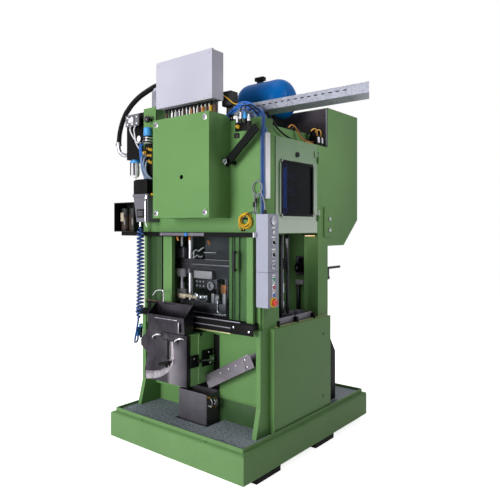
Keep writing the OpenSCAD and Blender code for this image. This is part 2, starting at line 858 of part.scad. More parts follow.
// Cable tray: a slotted channel on two legs, reaching out to the right of the press
ctray_left = body_right - ctray_in;
ctray_right = body_right + ctray_out;
ctray_z = head_top + ctray_gap;
ctray_front = head_front + 140;
slot_l = 25;
slot_h = 7;
leg_w = 40;
leg_t = 20;
module cable_tray() {
  rows = floor((ctray_right - ctray_w * tan(ctray_mitre) - ctray_left) / slot_pitch) - 1;
  rear = ctray_front + ctray_w;
  color(steel) {
    difference() {
      block([ctray_left, ctray_front, ctray_z], [ctray_right, rear, ctray_z + ctray_h]);
      block([ctray_left - eps, ctray_front + ctray_t, ctray_z + ctray_t],
            [ctray_right + eps, rear - ctray_t, ctray_z + ctray_h + eps]);
      for (i = [1 : rows]) {
        x = ctray_left + i * slot_pitch;
        block([x, ctray_front - eps, ctray_z + ctray_h * 0.55],
              [x + slot_l, rear + eps, ctray_z + ctray_h * 0.55 + slot_h]);
        block([x, ctray_front + ctray_w / 2 - slot_h / 2, ctray_z - eps],
              [x + slot_l, ctray_front + ctray_w / 2 + slot_h / 2, ctray_z + ctray_t + eps]);
      }
      translate([ctray_right, ctray_front, ctray_z - eps]) rotate([0, 0, ctray_mitre])
        block([0, -ctray_w, 0], [ctray_w, 2 * ctray_w, ctray_h + 2 * eps]);
    }
    for (x = [ctray_left + leg_w, body_right - step_w - 2 * leg_w],
         y = [ctray_front + leg_t, rear - 2 * leg_t])
      block([x, y, head_top], [x + leg_w, y + leg_t, ctray_z]);
  }
}

// Tray strut: a flat bar from a stud on the head's front up to the cable tray
strut_w = 52;
strut_t = 16;
strut_l = 310;
strut_tilt = 40;
strut_stand = 64;
stud_r = 13;
stud_over = 16;
strut_x = cover_left + cover_w + 39.5;
strut_z = head_top - 278;
module tray_strut() {
  color(black)
    translate([strut_x, head_front, strut_z]) {
      rotate([90, 0, 0]) cylinder(h = strut_stand + strut_t + stud_over, r = stud_r);
      translate([0, -strut_stand, 0]) rotate([0, -strut_tilt, 0])
        block([-strut_w / 2, -strut_t, -strut_w / 2], [strut_l, 0, strut_w / 2]);
    }
}

// Air tank: a rolled shell with round ends on welded feet, with its outlet valve on top
tank_x = shaft_x + tank_shift;
module tank_profile() {
  square([tank_r, tank_l - 2 * tank_round]);
  translate([0, -tank_round]) square([tank_r - tank_round, tank_l]);
  for (y = [0, tank_l - 2 * tank_round]) translate([tank_r - tank_round, y]) circle(tank_round);
}
module air_tank() {
  tank_z = head_top + tank_gap + tank_r;
  foot_at = tank_l / 4;
  color("#1a6fb5") {
    translate([tank_x - tank_l / 2 + tank_round, tank_y, tank_z]) rotate([0, 90, 0])
      rotate_extrude() intersection() {
        tank_profile();
        translate([0, -tank_l]) square([tank_r, 3 * tank_l]);
      }
    for (s = [-1, 1])
      block([tank_x + s * foot_at - 15, tank_y - tank_r / 2, head_top],
            [tank_x + s * foot_at + 15, tank_y + tank_r / 2, tank_z - tank_r / 2]);
    bar_z(tank_z, tank_z + tank_r + 22, tank_x - 60, tank_y, 26);
    block([tank_x - 100, tank_y - 20, tank_z + tank_r + 20],
          [tank_x - 20, tank_y + 20, tank_z + tank_r + 48]);
  }
}

// Main shaft: journals, crank cheeks and crank pin, with a square end behind the access hole
cheek_t = 25;
cheek_r = crank_pin_r + throw + 10;
crank_y0 = ram_y - rod_w / 2 - slide_fit;
crank_y1 = ram_y + rod_w / 2 + slide_fit;
shaft_front = head_front - cover_d + 40;
shaft_rear = flywheel_y + flywheel_w + 60;
disc_r = 130;
module main_shaft() {
  color(steel) {
    bar_y(shaft_front + 30, crank_y0, shaft_x, shaft_z, shaft_r);
    bar_y(crank_y1, shaft_rear, shaft_x, shaft_z, shaft_r);
    bar_y(crank_y0 - eps, crank_y1 + eps, shaft_x, shaft_z + throw, crank_pin_r);
    for (y = [crank_y0 - cheek_t, crank_y1]) bar_y(y, y + cheek_t, shaft_x, shaft_z, cheek_r);
    bar_y(head_front - 90, head_front - 60, shaft_x, shaft_z, disc_r);
    block([shaft_x - 10, shaft_front, shaft_z - 10], [shaft_x + 10, shaft_front + 30, shaft_z + 10]);
  }
}

// Shaft bearings: flanged bronze bushes in the head's front and rear walls
bush_flange = 12;
module bearing(y0, y1, flange_y0) {
  difference() {
    union() {
      bar_y(y0, y1, shaft_x, shaft_z, bush_r);
      bar_y(flange_y0, flange_y0 + bush_flange, shaft_x, shaft_z, bush_r + 15);
    }
    bar_y(y0 - 50, y1 + 50, shaft_x, shaft_z, shaft_r + run_fit);
  }
}
module shaft_bearings() {
  color("#b08a4a") {
    bearing(head_front, head_front + head_wall, head_front + head_wall);
    bearing(body_rear - head_wall, body_rear, body_rear - head_wall - bush_flange);
  }
}

// Flywheel: a heavy rim with belt grooves, a holed web and a hub
groove_count = 3;
groove_pitch = 36;
rim_d = 70;
web_t = 36;
hub_r = 105;
module flywheel() {
  half = flywheel_w / 2;
  color("#6a6c70")
    difference() {
      translate([shaft_x, flywheel_y + half, shaft_z]) rotate([90, 0, 0])
        rotate_extrude($fn = 96) difference() {
          union() {
            translate([flywheel_r - rim_d, -half]) square([rim_d, flywheel_w]);
            translate([shaft_r, -web_t / 2]) square([flywheel_r - rim_d - shaft_r, web_t]);
            translate([shaft_r, -half]) square([hub_r - shaft_r, flywheel_w]);
          }
          for (i = [0 : groove_count - 1])
            translate([flywheel_r, (i - 1) * groove_pitch])
              polygon(belt_section);
        }
      for (a = [0 : 72 : 288])
        translate([shaft_x, 0, shaft_z]) rotate([0, a, 0])
          bar_y(flywheel_y, flywheel_y + flywheel_w, 0, (hub_r + flywheel_r - rim_d) / 2, 55);
    }
}

// Connecting rod: big end on the crank pin, a waisted shank and the small end in the ram
rod_big = 95;
rod_small = 42;
rod_waist = 64;
rod_step = 15;
small_z = shaft_z + throw - rod_l;
module conrod() {
  y0 = ram_y - rod_w / 2;
  y1 = ram_y + rod_w / 2;
  color("#7c7e82")
    difference() {
      union() {
        bar_y(y0, y1, shaft_x, shaft_z + throw, rod_big);
        bar_y(y0 + rod_step, y1 - rod_step, shaft_x, small_z, rod_small);
        block([shaft_x - rod_waist / 2, y0 + rod_step, small_z],
              [shaft_x + rod_waist / 2, y1 - rod_step, shaft_z + throw - rod_big / 2]);
      }
      bar_y(y0 - eps, y1 + eps, shaft_x, shaft_z + throw, crank_pin_r + run_fit);
      bar_y(y0 - eps, y1 + eps, shaft_x, small_z, rod_small / 2);
    }
}

// Ram: a guided block with an open pocket for the rod's small end and bolt holes in its foot
tool_scale = (head_z - bed_z) / tool_room;
tool_low = bed_z + tool_plate_up * tool_scale;
upper_t = tool_plate_t * tool_scale;
die_top = bed_z + die_plate_t + die_h * tool_scale;
ram_low = tool_low + 2 * upper_t;
ram_over = 20;
ram_high = small_z + ram_over;
module ram() {
  pocket_w = rod_small + throw + loose_fit;
  pocket_low = small_z - rod_small - 2 * throw - stroke / 4;
  color("#a5a7aa")
    difference() {
      block([shaft_x - ram_w / 2, ram_y - ram_d / 2, ram_low],
            [shaft_x + ram_w / 2, ram_y + ram_d / 2, ram_high]);
      block([shaft_x - pocket_w, ram_y - rod_w / 2 - loose_fit, pocket_low],
            [shaft_x + pocket_w, ram_y + rod_w / 2 + loose_fit, ram_high + eps]);
    }
}

// Motor: a foot-mounted motor on the head with a ribbed shell
motor_front = body_rear - motor_l - 20;
module motor() {
  color("#5f656c") {
    bar_y(motor_front, motor_front + motor_l, motor_x, motor_z, motor_r * 0.88);
    for (a = [150 : 20 : 390])
      translate([motor_x, 0, motor_z]) rotate([0, a, 0])
        block([motor_r * 0.8, motor_front + 30, -2], [motor_r, motor_front + motor_l - 30, 2]);
    block([motor_x - motor_r * 0.8, motor_front + 30, head_top],
          [motor_x + motor_r * 0.8, motor_front + motor_l - 30, motor_z - motor_r * 0.6]);
    bar_y(motor_front - 50, motor_front, motor_x, motor_z, motor_r * 0.92);
  }
}

// Motor pulley: a three-groove pulley on the motor's shaft
belt_half = 13;
belt_taper = 3;
belt_section = [
  [eps, -belt_half], [eps, belt_half], [-belt_t, belt_half - belt_taper], [-belt_t, belt_taper - belt_half]
];
motor_shaft_r = 19;
module motor_pulley() {
  half = flywheel_w / 2;
  color("#8a8c90") {
    translate([motor_x, flywheel_y + half, motor_z]) rotate([90, 0, 0])
      rotate_extrude() difference() {
        translate([0, -groove_pitch * 1.5]) square([pulley_r, groove_pitch * 3]);
        for (i = [0 : groove_count - 1])
          translate([pulley_r, (i - 1) * groove_pitch])
            polygon(belt_section);
      }
    bar_y(motor_front + motor_l + slide_fit, flywheel_y + half, motor_x, motor_z, motor_shaft_r);
  }
}

// Drive belts: three belts in the grooves of the flywheel and the motor pulley
belt_seat = 0.6;
belt_rise = 2;
module belt_loop(grow) {
  hull() {
    translate([shaft_x, shaft_z]) circle(flywheel_r + grow, $fn = 96);
    translate([motor_x, motor_z]) circle(pulley_r + grow, $fn = 32);
  }
}
module drive_belt() {
  mid = flywheel_y + flywheel_w / 2;
  color("#202022")
    for (i = [0 : groove_count - 1])
      along_y(mid + (i - 1) * groove_pitch - belt_half + 4, mid + (i - 1) * groove_pitch + belt_half - 4)
        difference() {
          belt_loop(belt_rise);
          belt_loop(belt_seat - belt_t);
        }
}

// Upper tool: two guided plates with pillar bushes, the punch holder and the punch
tool_y = ram_y;
tool_plate_w = body_right - body_left - 2 * column_w - 2 * tool_gap;
pillar_span = tool_plate_w - pillar_inset;
tie_span = tool_plate_w - tie_inset;
bolt_x = tool_plate_w - bolt_inset;
holder_w = 370;
holder_h = 60 * tool_scale;
punch_r = 30;
punch_in = 10;
punch_low = die_top + stroke - punch_in;
bush_wall = 14;
module at_corners(span_x, span_y) {
  for (sx = [-1, 1], sy = [-1, 1])
    translate([tool_x + sx * span_x / 2, tool_y + sy * span_y / 2, 0]) children();
}
module upper_tool() {
  color("#57585c")
    difference() {
      union() {
        for (z = [tool_low, tool_low + upper_t])
          translate([tool_x - tool_plate_w / 2, tool_y - tool_plate_d / 2, z])
            cube([tool_plate_w, tool_plate_d, upper_t - 1.5 * (z == tool_low ? 1 : 0)]);
        translate([tool_x - holder_w / 2, tool_y - 210, tool_low - holder_h]) cube([holder_w, 300, holder_h]);
        translate([tool_x - 60, tool_y - 90, tool_low]) cube([120, 180, 2 * upper_t]);
        bar_z(punch_low, tool_low, shaft_x, tool_y, punch_r);
        at_corners(pillar_span, pillar_depth)
          translate([0, 0, tool_low - 30]) cylinder(h = 30 + 2 * upper_t, r = pillar_r + bush_wall);
      }
      at_corners(pillar_span, pillar_depth)
        translate([0, 0, tool_low - 60]) cylinder(h = 200, r = pillar_r + run_fit);
      at_corners(tie_span, pillar_depth)
        translate([0, 0, tool_low - 60]) cylinder(h = 200, r = tie_r + loose_fit);
    }
}

// Guide pillars: four ground pillars and four tie rods with spacer sleeves
sleeve_r = tie_r * 1.4;
module guide_pillars() {
  foot = bed_z + die_plate_t;
  color("#d8d8dc") {
    at_corners(pillar_span, pillar_depth) translate([0, 0, foot]) cylinder(h = head_z - foot, r = pillar_r);
    at_corners(tie_span, pillar_depth) {
      translate([0, 0, foot]) cylinder(h = head_z - foot, r = tie_r);
      translate([0, 0, foot]) cylinder(h = 70, r = sleeve_r);
      translate([0, 0, foot + 130]) cylinder(h = 70, r = sleeve_r);
    }
  }
}

// Die plate: the bolted lower plate with the die block and its bore
die_r = punch_r + slide_fit;
module die_plate() {
  color("#6c6e74")
    difference() {
      union() {
        translate([tool_x - tool_plate_w / 2, tool_y - tool_plate_d / 2, bed_z])
          cube([tool_plate_w, tool_plate_d, die_plate_t]);
        translate([shaft_x - 110, tool_y - 110, bed_z]) cube([220, 220, die_top - bed_z]);
      }
      bar_z(bed_z + die_plate_t, die_top + eps, shaft_x, tool_y, die_r);
      at_corners(bolt_x, bolt_y)
        translate([0, 0, bed_z - eps]) cylinder(h = die_plate_t + 2 * eps, r = bolt_r);
    }
}

// Guard rails: a grooved rail over and under the sliding guard
rail_front = head_front - rail_d;
rail_left = body_left - rail_over;
sill_left = body_left - sill_over;
rail_right = body_right - rail_end;
sill_z = bed_z + 5;
groove_front = rail_front + 12;
rail_z = head_z - rail_h + 10;
module guard_rails() {
  color(black)
    for (top = [false, true]) {
      z = top ? rail_z : sill_z;
      h = top ? rail_h : sill_h;
      x = top ? rail_left : sill_left;
      cut_z = top ? rail_z - eps : sill_z + sill_h - groove_d;
      difference() {
        block([x, rail_front, z], [rail_right, head_front, z + h]);
        block([x - eps, groove_front, cut_z],
              [rail_right + eps, groove_front + groove_w, cut_z + groove_d + eps]);
      }
    }
}

// Guard door: the stile and the pull handle of the sliding pane
door_bottom = sill_z + sill_h - groove_d + slide_fit;
door_height = rail_z + groove_d - 1.5 - door_bottom;
stile_y = groove_front + (groove_w - stile_t) / 2;
guard_pane_y = stile_y + (stile_t - guard_pane_t) / 2;
stile_right = rail_right - stile_gap;
handle_in = 140;
handle_x = stile_right - handle_in;
handle_z = bed_z + 370;
handle_h = 130;
handle_out = 34;
handle_w = 22;
handle_t = 12;
handle_foot = 14;
module guard_door() {
  color(paint)
    translate([stile_right - stile_w, stile_y, door_bottom]) cube([stile_w, stile_t, door_height]);
  color(black) {
    block([handle_x - handle_w / 2, guard_pane_y - handle_out, handle_z],
          [handle_x + handle_w / 2, guard_pane_y - handle_out + handle_t, handle_z + handle_h]);
    for (z = [handle_z, handle_z + handle_h - handle_foot])
      block([handle_x - handle_foot / 2, guard_pane_y - handle_out + handle_t, z],
            [handle_x + handle_foot / 2, guard_pane_y, z + handle_foot]);
  }
}

// Guard pane: the clear sheet of the sliding guard
module guard_pane() {
  color("#c8d8d8")
    translate([stile_right - stile_w - guard_pane_w, guard_pane_y, door_bottom])
      cube([guard_pane_w, guard_pane_t, door_height]);
}

// Pendant: a tall case on the right column, its control holes in the outer face
pendant_out = body_right + pendant_d;
pendant_y = pendant_front + pendant_w / 2;
hole_depth = 30;
gauge_z = pendant_z + 545;
lamp_z = pendant_z + 472;
selector_z = [pendant_z + 408, pendant_z + 331];
key_z = pendant_z + 259;
green_z = pendant_z + 178;
button_pitch = 50;
estop_z = pendant_z + 32;
control_z = [
  selector_z[0], selector_z[1], key_z, green_z, green_z - button_pitch, green_z - 2 * button_pitch, estop_z
];
seam_z = pendant_z + 222;
module pendant_box() {
  color(grey)
    difference() {
      union() {
        block([body_right, pendant_front, pendant_z],
              [pendant_out, pendant_front + pendant_w, pendant_z + pendant_h]);
        block([rail_right + loose_fit, pendant_front, pendant_z],
              [pendant_out, head_front, pendant_z + pendant_h]);
      }
      for (z = control_z)
        bar_x(pendant_out - hole_depth, pendant_out + eps, pendant_y, z, button_r + slide_fit);
      block([rail_right, pendant_front - eps, seam_z], [pendant_out + eps, pendant_front + 1.5, seam_z + 3]);
    }
}

// Pendant fittings: gauge, lamp, bare label strips, bezels and the stop's yellow ring
bezel_t = 4;
bezel_w = 5;
strip_h = 12;
strip_w = 50;
module pendant_fittings() {
  color("#30323a") {
    bar_x(pendant_out, pendant_out + 10, pendant_y, gauge_z, 26);
    bar_x(pendant_out, pendant_out + 6, pendant_y, lamp_z, 9);
    for (z = control_z)
      difference() {
        bar_x(pendant_out, pendant_out + bezel_t, pendant_y, z,
              z == estop_z ? 1.35 * estop_r : button_r + bezel_w);
        bar_x(pendant_out - eps, pendant_out + bezel_t + eps, pendant_y, z, button_r + slide_fit);
      }
    for (z = concat([gauge_z - 45], [for (s = selector_z) s + 33], [key_z + 33, green_z + 25]))
      block([pendant_out, pendant_y - strip_w / 2, z - strip_h / 2],
            [pendant_out + 2, pendant_y + strip_w / 2, z + strip_h / 2]);
  }
}

// Controls: a selector or key grip that turns, a push-button and the stop's mushroom head
stem_in = hole_depth - 2 * button_travel - 4;
module stem(z, out) {
  bar_x(pendant_out - stem_in, pendant_out + out, pendant_y, z, button_r);
}
module turn_grip(z, length) {
  stem(z, bezel_t + 4);
  block([pendant_out + bezel_t + 4, pendant_y - 4, z - length / 2],
        [pendant_out + bezel_t + 16, pendant_y + 4, z + length / 2]);
}
module selector_upper() {
  color(black) turn_grip(selector_z[0], 22);
}
module selector_lower() {
  color(black) turn_grip(selector_z[1], 22);
}
module key_switch() {
  color(steel) turn_grip(key_z, 16);
}
module button_green() {
  color("#2f8f7a") stem(green_z, bezel_t + button_travel + 1);
}
module button_red() {
  color("#b53a55") stem(green_z - button_pitch, bezel_t + button_travel + 1);
}
module button_blue() {
  color("#2f5fb0") stem(green_z - 2 * button_pitch, bezel_t + button_travel + 1);
}
estop_travel = 6;
module estop_button() {
  head_x = pendant_out + bezel_t + estop_travel + 1;
  color("#d0342c") {
    stem(estop_z, bezel_t + estop_travel + 2);
    bar_x(head_x, head_x + 14, pendant_y, estop_z, estop_r);
    translate([head_x + 14, pendant_y, estop_z])
      rotate([0, 90, 0]) cylinder(h = 4, r1 = estop_r, r2 = estop_r - 5);
  }
}

// Cable duct: a slim trunking from the pendant up the head's right side
duct_front = head_front + 22;
duct_gap = 100;
module cable_duct() {
  color("#f0eef4")
    block([body_right, duct_front, pendant_z + pendant_h + duct_gap],
          [body_right + duct_d, duct_front + duct_w, head_z + duct_up]);
}

// Hopper: a stainless front with a round dish and a slot, and an open funnel above it
hopper_left = tool_x - hopper_off;
bin_left = hopper_left + bin_in;
housing_front = panel_face - housing_d;
hopper_front = housing_front - hopper_front_d;
housing_top = hopper_z + housing_h;
dish_x = hopper_left + 91;
dish_z = hopper_z + 215;
ear = [[0, 165], [-75, 215], [-78, 255], [-40, 295], [0, 295]];
funnel_wall = 3;
funnel_inset = 26;
slot_x = hopper_left + 225;
module funnel_profile(inset) {
  polygon([
    [hopper_front + 8 + inset, housing_top],
    [hopper_front + inset, housing_top + funnel_h * 0.58 + 2 * inset],
    [hopper_front + funnel_d - inset, housing_top + funnel_h + 2 * inset],
    [hopper_front + funnel_d - inset, housing_top]
  ]);
}
module hopper() {
  sphere_r = (dish_r * dish_r + dish_depth * dish_depth) / (2 * dish_depth);
  color(stainless) {
    difference() {
      block([hopper_left, hopper_front, hopper_z], [hopper_left + hopper_w, housing_front, housing_top]);
      translate([dish_x, hopper_front + dish_depth - sphere_r, dish_z]) sphere(sphere_r, $fn = 96);
      block([slot_x - 6, hopper_front - eps, hopper_z + 190],
            [slot_x + 6, housing_front + eps, hopper_z + 300]);
      bar_y(hopper_front - eps, housing_front + eps, slot_x, hopper_z + 175, 20);
    }
    translate([hopper_left, 0, hopper_z])
      along_y(housing_front - 3 * funnel_wall, housing_front) polygon(ear);
    difference() {
      along_x(hopper_left + funnel_inset, hopper_left + hopper_w - funnel_inset) funnel_profile(0);
      along_x(hopper_left + funnel_inset + funnel_wall, hopper_left + hopper_w - funnel_inset - funnel_wall)
        translate([0, funnel_wall]) funnel_profile(funnel_wall);
    }
  }
}

// Hopper housing: the green carrier behind the stainless front, with the latch's pivot pin
latch_y = panel_face - 30;
latch_z = hopper_z + 150;
latch_pin_r = 6;
hopper_right = hopper_left + hopper_w;
lever_in = hopper_right + 14;
lever_t = 12;
seam_y = panel_face - 150;
module hopper_housing() {
  color(paint) {
    difference() {
      block([hopper_left, housing_front, hopper_z], [hopper_right, panel_face, housing_top]);
      block([hopper_left + 2 * sheet, housing_front + 2 * sheet, hopper_z + 2 * sheet],
            [hopper_right - 2 * sheet, panel_face + eps, housing_top - 2 * sheet]);
    }
    block([hopper_right, seam_y, hopper_z], [hopper_right + 4, seam_y + 6, housing_top]);
    block([hopper_right, latch_y - 24, latch_z - 26], [lever_in - slide_fit, latch_y + 24, latch_z + 26]);
    bar_x(hopper_right, lever_in + lever_t, latch_y, latch_z, latch_pin_r);
  }
}

// Latch: the lever that holds the hopper's housing, with a round grip
lever_l = 150;
module latch() {
  color(black)
    difference() {
      union() {
        bar_x(lever_in, lever_in + lever_t, latch_y, latch_z, 20);
        block([lever_in, latch_y - lever_l, latch_z - 9], [lever_in + lever_t, latch_y, latch_z + 9]);
        bar_x(lever_in, lever_in + 30, latch_y - lever_l, latch_z, 17);
      }
      bar_x(lever_in - eps, lever_in + lever_t + eps, latch_y, latch_z, latch_pin_r + run_fit);
    }
}

// Chute: a sloping channel along the front panel that ends over the bin
chute_over = 20;
chute_rise = 30;
chute_x = bin_left + bin_w - chute_over;
chute_z = bin_rim + chute_rise;
chute_t = 2.5;
chute_l = (body_right - side_t - chute_gap - chute_x) / cos(chute_slope);
module chute() {
  color(stainless)
    difference() {
      translate([chute_x, panel_face - chute_w, chute_z]) rotate([0, -chute_slope, 0])
        pan([0, 0, 0], [chute_l, chute_w, chute_h], [chute_t, chute_t, chute_t],
            [chute_t + eps, 0, 0], [chute_t + eps, 0, chute_t + eps]);
      block([hopper_left, housing_front, hopper_z - loose_fit],
            [hopper_right + loose_fit, panel_face, bed_z]);
    }
}

// Collecting bin: an open sheet box that stands in the tray
bin_front = panel_face - loose_fit - bin_d;
module collecting_bin() {
  color(stainless)
    pan([bin_left, bin_front, stand_z], [bin_left + bin_w, bin_front + bin_d, bin_rim],
        [sheet, sheet, sheet], [0, 0, 0], [0, 0, sheet + eps]);
}

// Valve cabinet: a closed box on the head's left side with a row of solenoids on its front
cabinet_z = lug_top - cabinet_h;
module valve_cabinet() {
  color(black) {
    block([body_left - cabinet_w, cabinet_front, cabinet_z],
          [body_left, cabinet_front + cabinet_d, lug_top]);
    for (i = [0 : 3])
      block([body_left - cabinet_w + 60 + i * 34, cabinet_front - 40, lug_top - 110],
            [body_left - cabinet_w + 86 + i * 34, cabinet_front, lug_top - 45]);
  }
}

// Air service unit: filter with its bowl under the cabinet, regulator and gauge on the head's front
filter_x = body_left - filter_off;
filter_y = cabinet_front + 50;
regulator_x = body_left + 80;
regulator_z = head_top - 70;
regulator_d = 60;
regulator_y = head_front - regulator_d / 2;
regulator_face = head_front - regulator_d;
module air_service_unit() {
  color("#3f86c8") {
    bar_z(cabinet_z - filter_h, cabinet_z - 30, filter_x, filter_y, bowl_r);
    bar_z(cabinet_z - 36, cabinet_z, filter_x, filter_y, bowl_r + 6);
    difference() {
      block([regulator_x - regulator_w / 2, regulator_face, regulator_z],
            [regulator_x + regulator_w / 2, head_front, regulator_z + regulator_w]);
      bar_z(regulator_z + regulator_w - 15, regulator_z + regulator_w + eps,
            regulator_x, regulator_y, 10 + run_fit);
    }
    bar_y(regulator_face - 26, regulator_y, regulator_x - 18, regulator_z + 25, 6);
    bar_y(regulator_face - 42, regulator_face - 20, regulator_x - 18, regulator_z + 25, 26);
  }
}

// Regulator knob: a ribbed knob that turns on the regulator's spindle
module regulator_knob() {
  z = regulator_z + regulator_w;
  color("#1f8fd8")
    translate([regulator_x, head_front - regulator_d / 2, 0]) {
      translate([0, 0, z - 14]) cylinder(h = 20, r = 10);
      difference() {
        translate([0, 0, z + slide_fit]) cylinder(h = 55, r = knob_r);
        for (a = [0 : 30 : 330])
          rotate([0, 0, a]) translate([knob_r + 2, 0, z - eps]) cylinder(h = 60, r = 4);
      }
    }
}

// Shut-off knob: a round black knob that turns on the front of the lug
shutoff_z = head_top + 105;
module shutoff_knob() {
  color(black) {
    bar_y(head_front - 40, head_front - slide_fit, regulator_x + 12, shutoff_z, 12);
    difference() {
      bar_y(head_front - 66, head_front - 38, regulator_x + 12, shutoff_z, 30);
      for (a = [0 : 60 : 300])
        translate([regulator_x + 12, 0, shutoff_z]) rotate([0, a, 0])
          bar_y(head_front - 80, head_front - 30, 0, 36, 10);
    }
  }
}

// Lubrication pump: a tank with a sight window and its motor on top, on the head's front
lube_left = body_left + 20;
lube_z = head_z + 82;
lube_top = lube_z + lube_h;
spigot_r = 14;
module lube_pump() {
  front = head_front - lube_d;
  color("#8a8894") {
    difference() {
      block([lube_left, front, lube_z], [lube_left + lube_w, head_front, lube_top]);
      block([lube_left + 40, front - eps, lube_z + 45], [lube_left + 105, front + 4, lube_z + 95]);
    }
    block([lube_left + 6, front + 6, lube_top],
          [lube_left + lube_w - 14, head_front, lube_top + lube_motor_h]);
    block([lube_left - 8, front + 10, lube_top - 26], [lube_left + lube_w, head_front, lube_top]);
    bar_z(lube_z - spigot_h, lube_z, hose_x, hose_y, spigot_r);
  }
}

// Reservoir box: an open-fronted case with two oil bottles, on the end of the upper rail
reservoir_left = body_left - reservoir_w - 30;
module reservoir_box() {
  front = rail_front - 15;
  low = rail_z + rail_h;
  color("#241c18") {
    pan([reservoir_left, front, low], [reservoir_left + reservoir_w, front + reservoir_d, low + reservoir_h],
        [6, 6, 6], [0, 7, 0], [0, 0, 0]);
    for (i = [0, 1])
      bar_z(low + 6, low + reservoir_h * 0.8,
            reservoir_left + reservoir_w * (0.3 + 0.4 * i), front + reservoir_d / 2, 40);
  }
}

// Clutch valve: the double valve on the step of the head, with two round caps
module clutch_valve() {
  x0 = body_right - step_w + 20;
  y0 = body_rear - 130;
  color("#26262a") {
    block([x0, y0, step_z], [x0 + 80, y0 + 120, step_z + 75]);
    for (y = [y0 + 32, y0 + 88]) bar_z(step_z + 75, step_z + 130, x0 + 40, y, 22);
  }
}

// Cable runs: the conduit to the valve cabinet, two air hoses, a cable loop and a coiled cable
conduit_r = 17;
conduit_base = [body_left, cabinet_front, head_top];
conduit_path = [
  [190, 45, 385], [100, 45, 397], [0, 45, 391], [-100, 45, 363], [-190, 45, 315],
  [20 - cabinet_w, 45, 255], [-cabinet_w - 35, 45, 185], [-cabinet_w - 68, 45, 105],
  [-cabinet_w - 80, 47, 25], [-cabinet_w - 78, 50, -40], [-cabinet_w - 62, 53, -83],
  [-cabinet_w - 35, 55, -100], [-cabinet_w, 55, -100]
];
hose_r = 7;
hose_base = [body_right, head_front, head_top];
hose_path = [
  [7, 6, pendant_z + pendant_h - head_top], [7, 6, -375], [7, 6, -125],
  [10, 12, -55], [6, 18, 9], [-15, 24, 43],
  [-50, 30, 63], [-100, 32, 67], [-145, 32, 53], [-176, 32, 30], [-184, 32, 15], [-184, 32, 0]
];
hose_gap = 0.6;
loop_r = 6;
loop_base = [body_right, head_front, pendant_z + pendant_h];
loop_path = [
  [40, -16, 0], [40, -16, 10], [38, -18, 55], [26, -21, 115], [2, -21, 155], [-30, -18, 170], [-62, -12, 162],
  [-80, -10, 130], [-74, -10, 82], [-86, -12, 44], [-102, -12, 28], [-104, -7, 26], [-104, 0, 26]
];
coil_x = body_right - 113;
coil_z = head_z + 85;
coil_big = 48;
coil_small = 11;
module cable_runs() {
  color(black) translate(conduit_base) tube(conduit_path, conduit_r, [0, 1, 0]);
  color("#2a62b8")
    for (i = [0, 1])
      translate(hose_base - [0, i * (2 * hose_r + hose_gap), 0]) tube(hose_path, hose_r, [0, 1, 0.01]);
  color(black) translate(loop_base) tube(loop_path, loop_r, [0.01, 1, 0]);
  color("#d8a820")
    translate([coil_x, head_front - coil_small, coil_z]) rotate([90, 0, 0])
      rotate_extrude() translate([coil_big, 0]) circle(coil_small);
}

// Coil hose: the outer shape of the spiral hose under the pump, and its plain end to the blow gun
gun_out = 54;
gun_x = body_left - gun_out;
grip_h = 50;
eye_r = 9;
gun_w = 20;
eye_z = hook_z + hook_r - eye_r;
grip_z = eye_z - 24 - grip_h;
trigger_z = eye_z - 34;
hose_in = 52;
hose_out = 92;
hose_x = lube_left + hose_in;
hose_y = head_front - hose_out;
spigot_h = 24;
spiral_r = 26;
spiral_base = [hose_x, hose_y, lube_z - spigot_h];
spiral_path = [
  [0, 0, 0], [0, 0, -118], [1, 0, -248], [2, 0, -378], [1, -1, -508], [-4, -4, -618], [-14, -8, -698]
];
tail_r = 6;
tail_base = [gun_x, hook_y, grip_z];
tail_path = concat(
  [for (p = [[-14, -8, -696], [-28, -10, -768], [-54, -4, -838]]) p + spiral_base - tail_base],
  [[38, -92, -34], [12, -58, -44], [1, -36, -34], [0, -31, -18], [0, -31, 0]]
);
module coil_hose() {
  color("#1d4a80") {
    translate(spiral_base) tube(spiral_path, spiral_r, [0, 1, 0], 10);
    translate(tail_base) tube(tail_path, tail_r, [0, 0.4, 1]);
  }
}

// Blow gun: hung by its eye on the hook at the left leg, its hose at the grip's lower end
module blow_gun() {
  color("#2f7fd0")
    difference() {
      union() {
        bar_x(gun_x - 6, gun_x + 6, hook_y, eye_z, eye_r + 7);
        block([gun_x - gun_w / 2, hook_y - 42, eye_z - 30], [gun_x + gun_w / 2, hook_y + 14, eye_z - 8]);
        block([gun_x - gun_w / 2, hook_y - 44, grip_z], [gun_x + gun_w / 2, hook_y - 18, eye_z - 20]);
        bar_y(hook_y + 14, hook_y + 90, gun_x, eye_z - 19, 5);
      }
      bar_x(gun_x - 20, gun_x + 20, hook_y, eye_z, eye_r);
      bar_x(gun_x - 20, gun_x + 20, hook_y - 12, trigger_z + 10, 3 + run_fit);
    }
}

// Blow trigger: the gun's lever on its cross pin
module blow_trigger() {
  color("#20222a") {
    bar_x(gun_x - gun_w / 2 - 4, gun_x + gun_w / 2 + 4, hook_y - 12, trigger_z + 10, 3);
    for (x = [gun_x - gun_w / 2 - 4, gun_x + gun_w / 2 + 1])
      block([x, hook_y - 16, trigger_z - 14], [x + 3, hook_y + 2, trigger_z + 13]);
    block([gun_x - gun_w / 2 - 4, hook_y - 4, trigger_z - 60],
          [gun_x + gun_w / 2 + 4, hook_y + 2, trigger_z - 10]);
  }
}

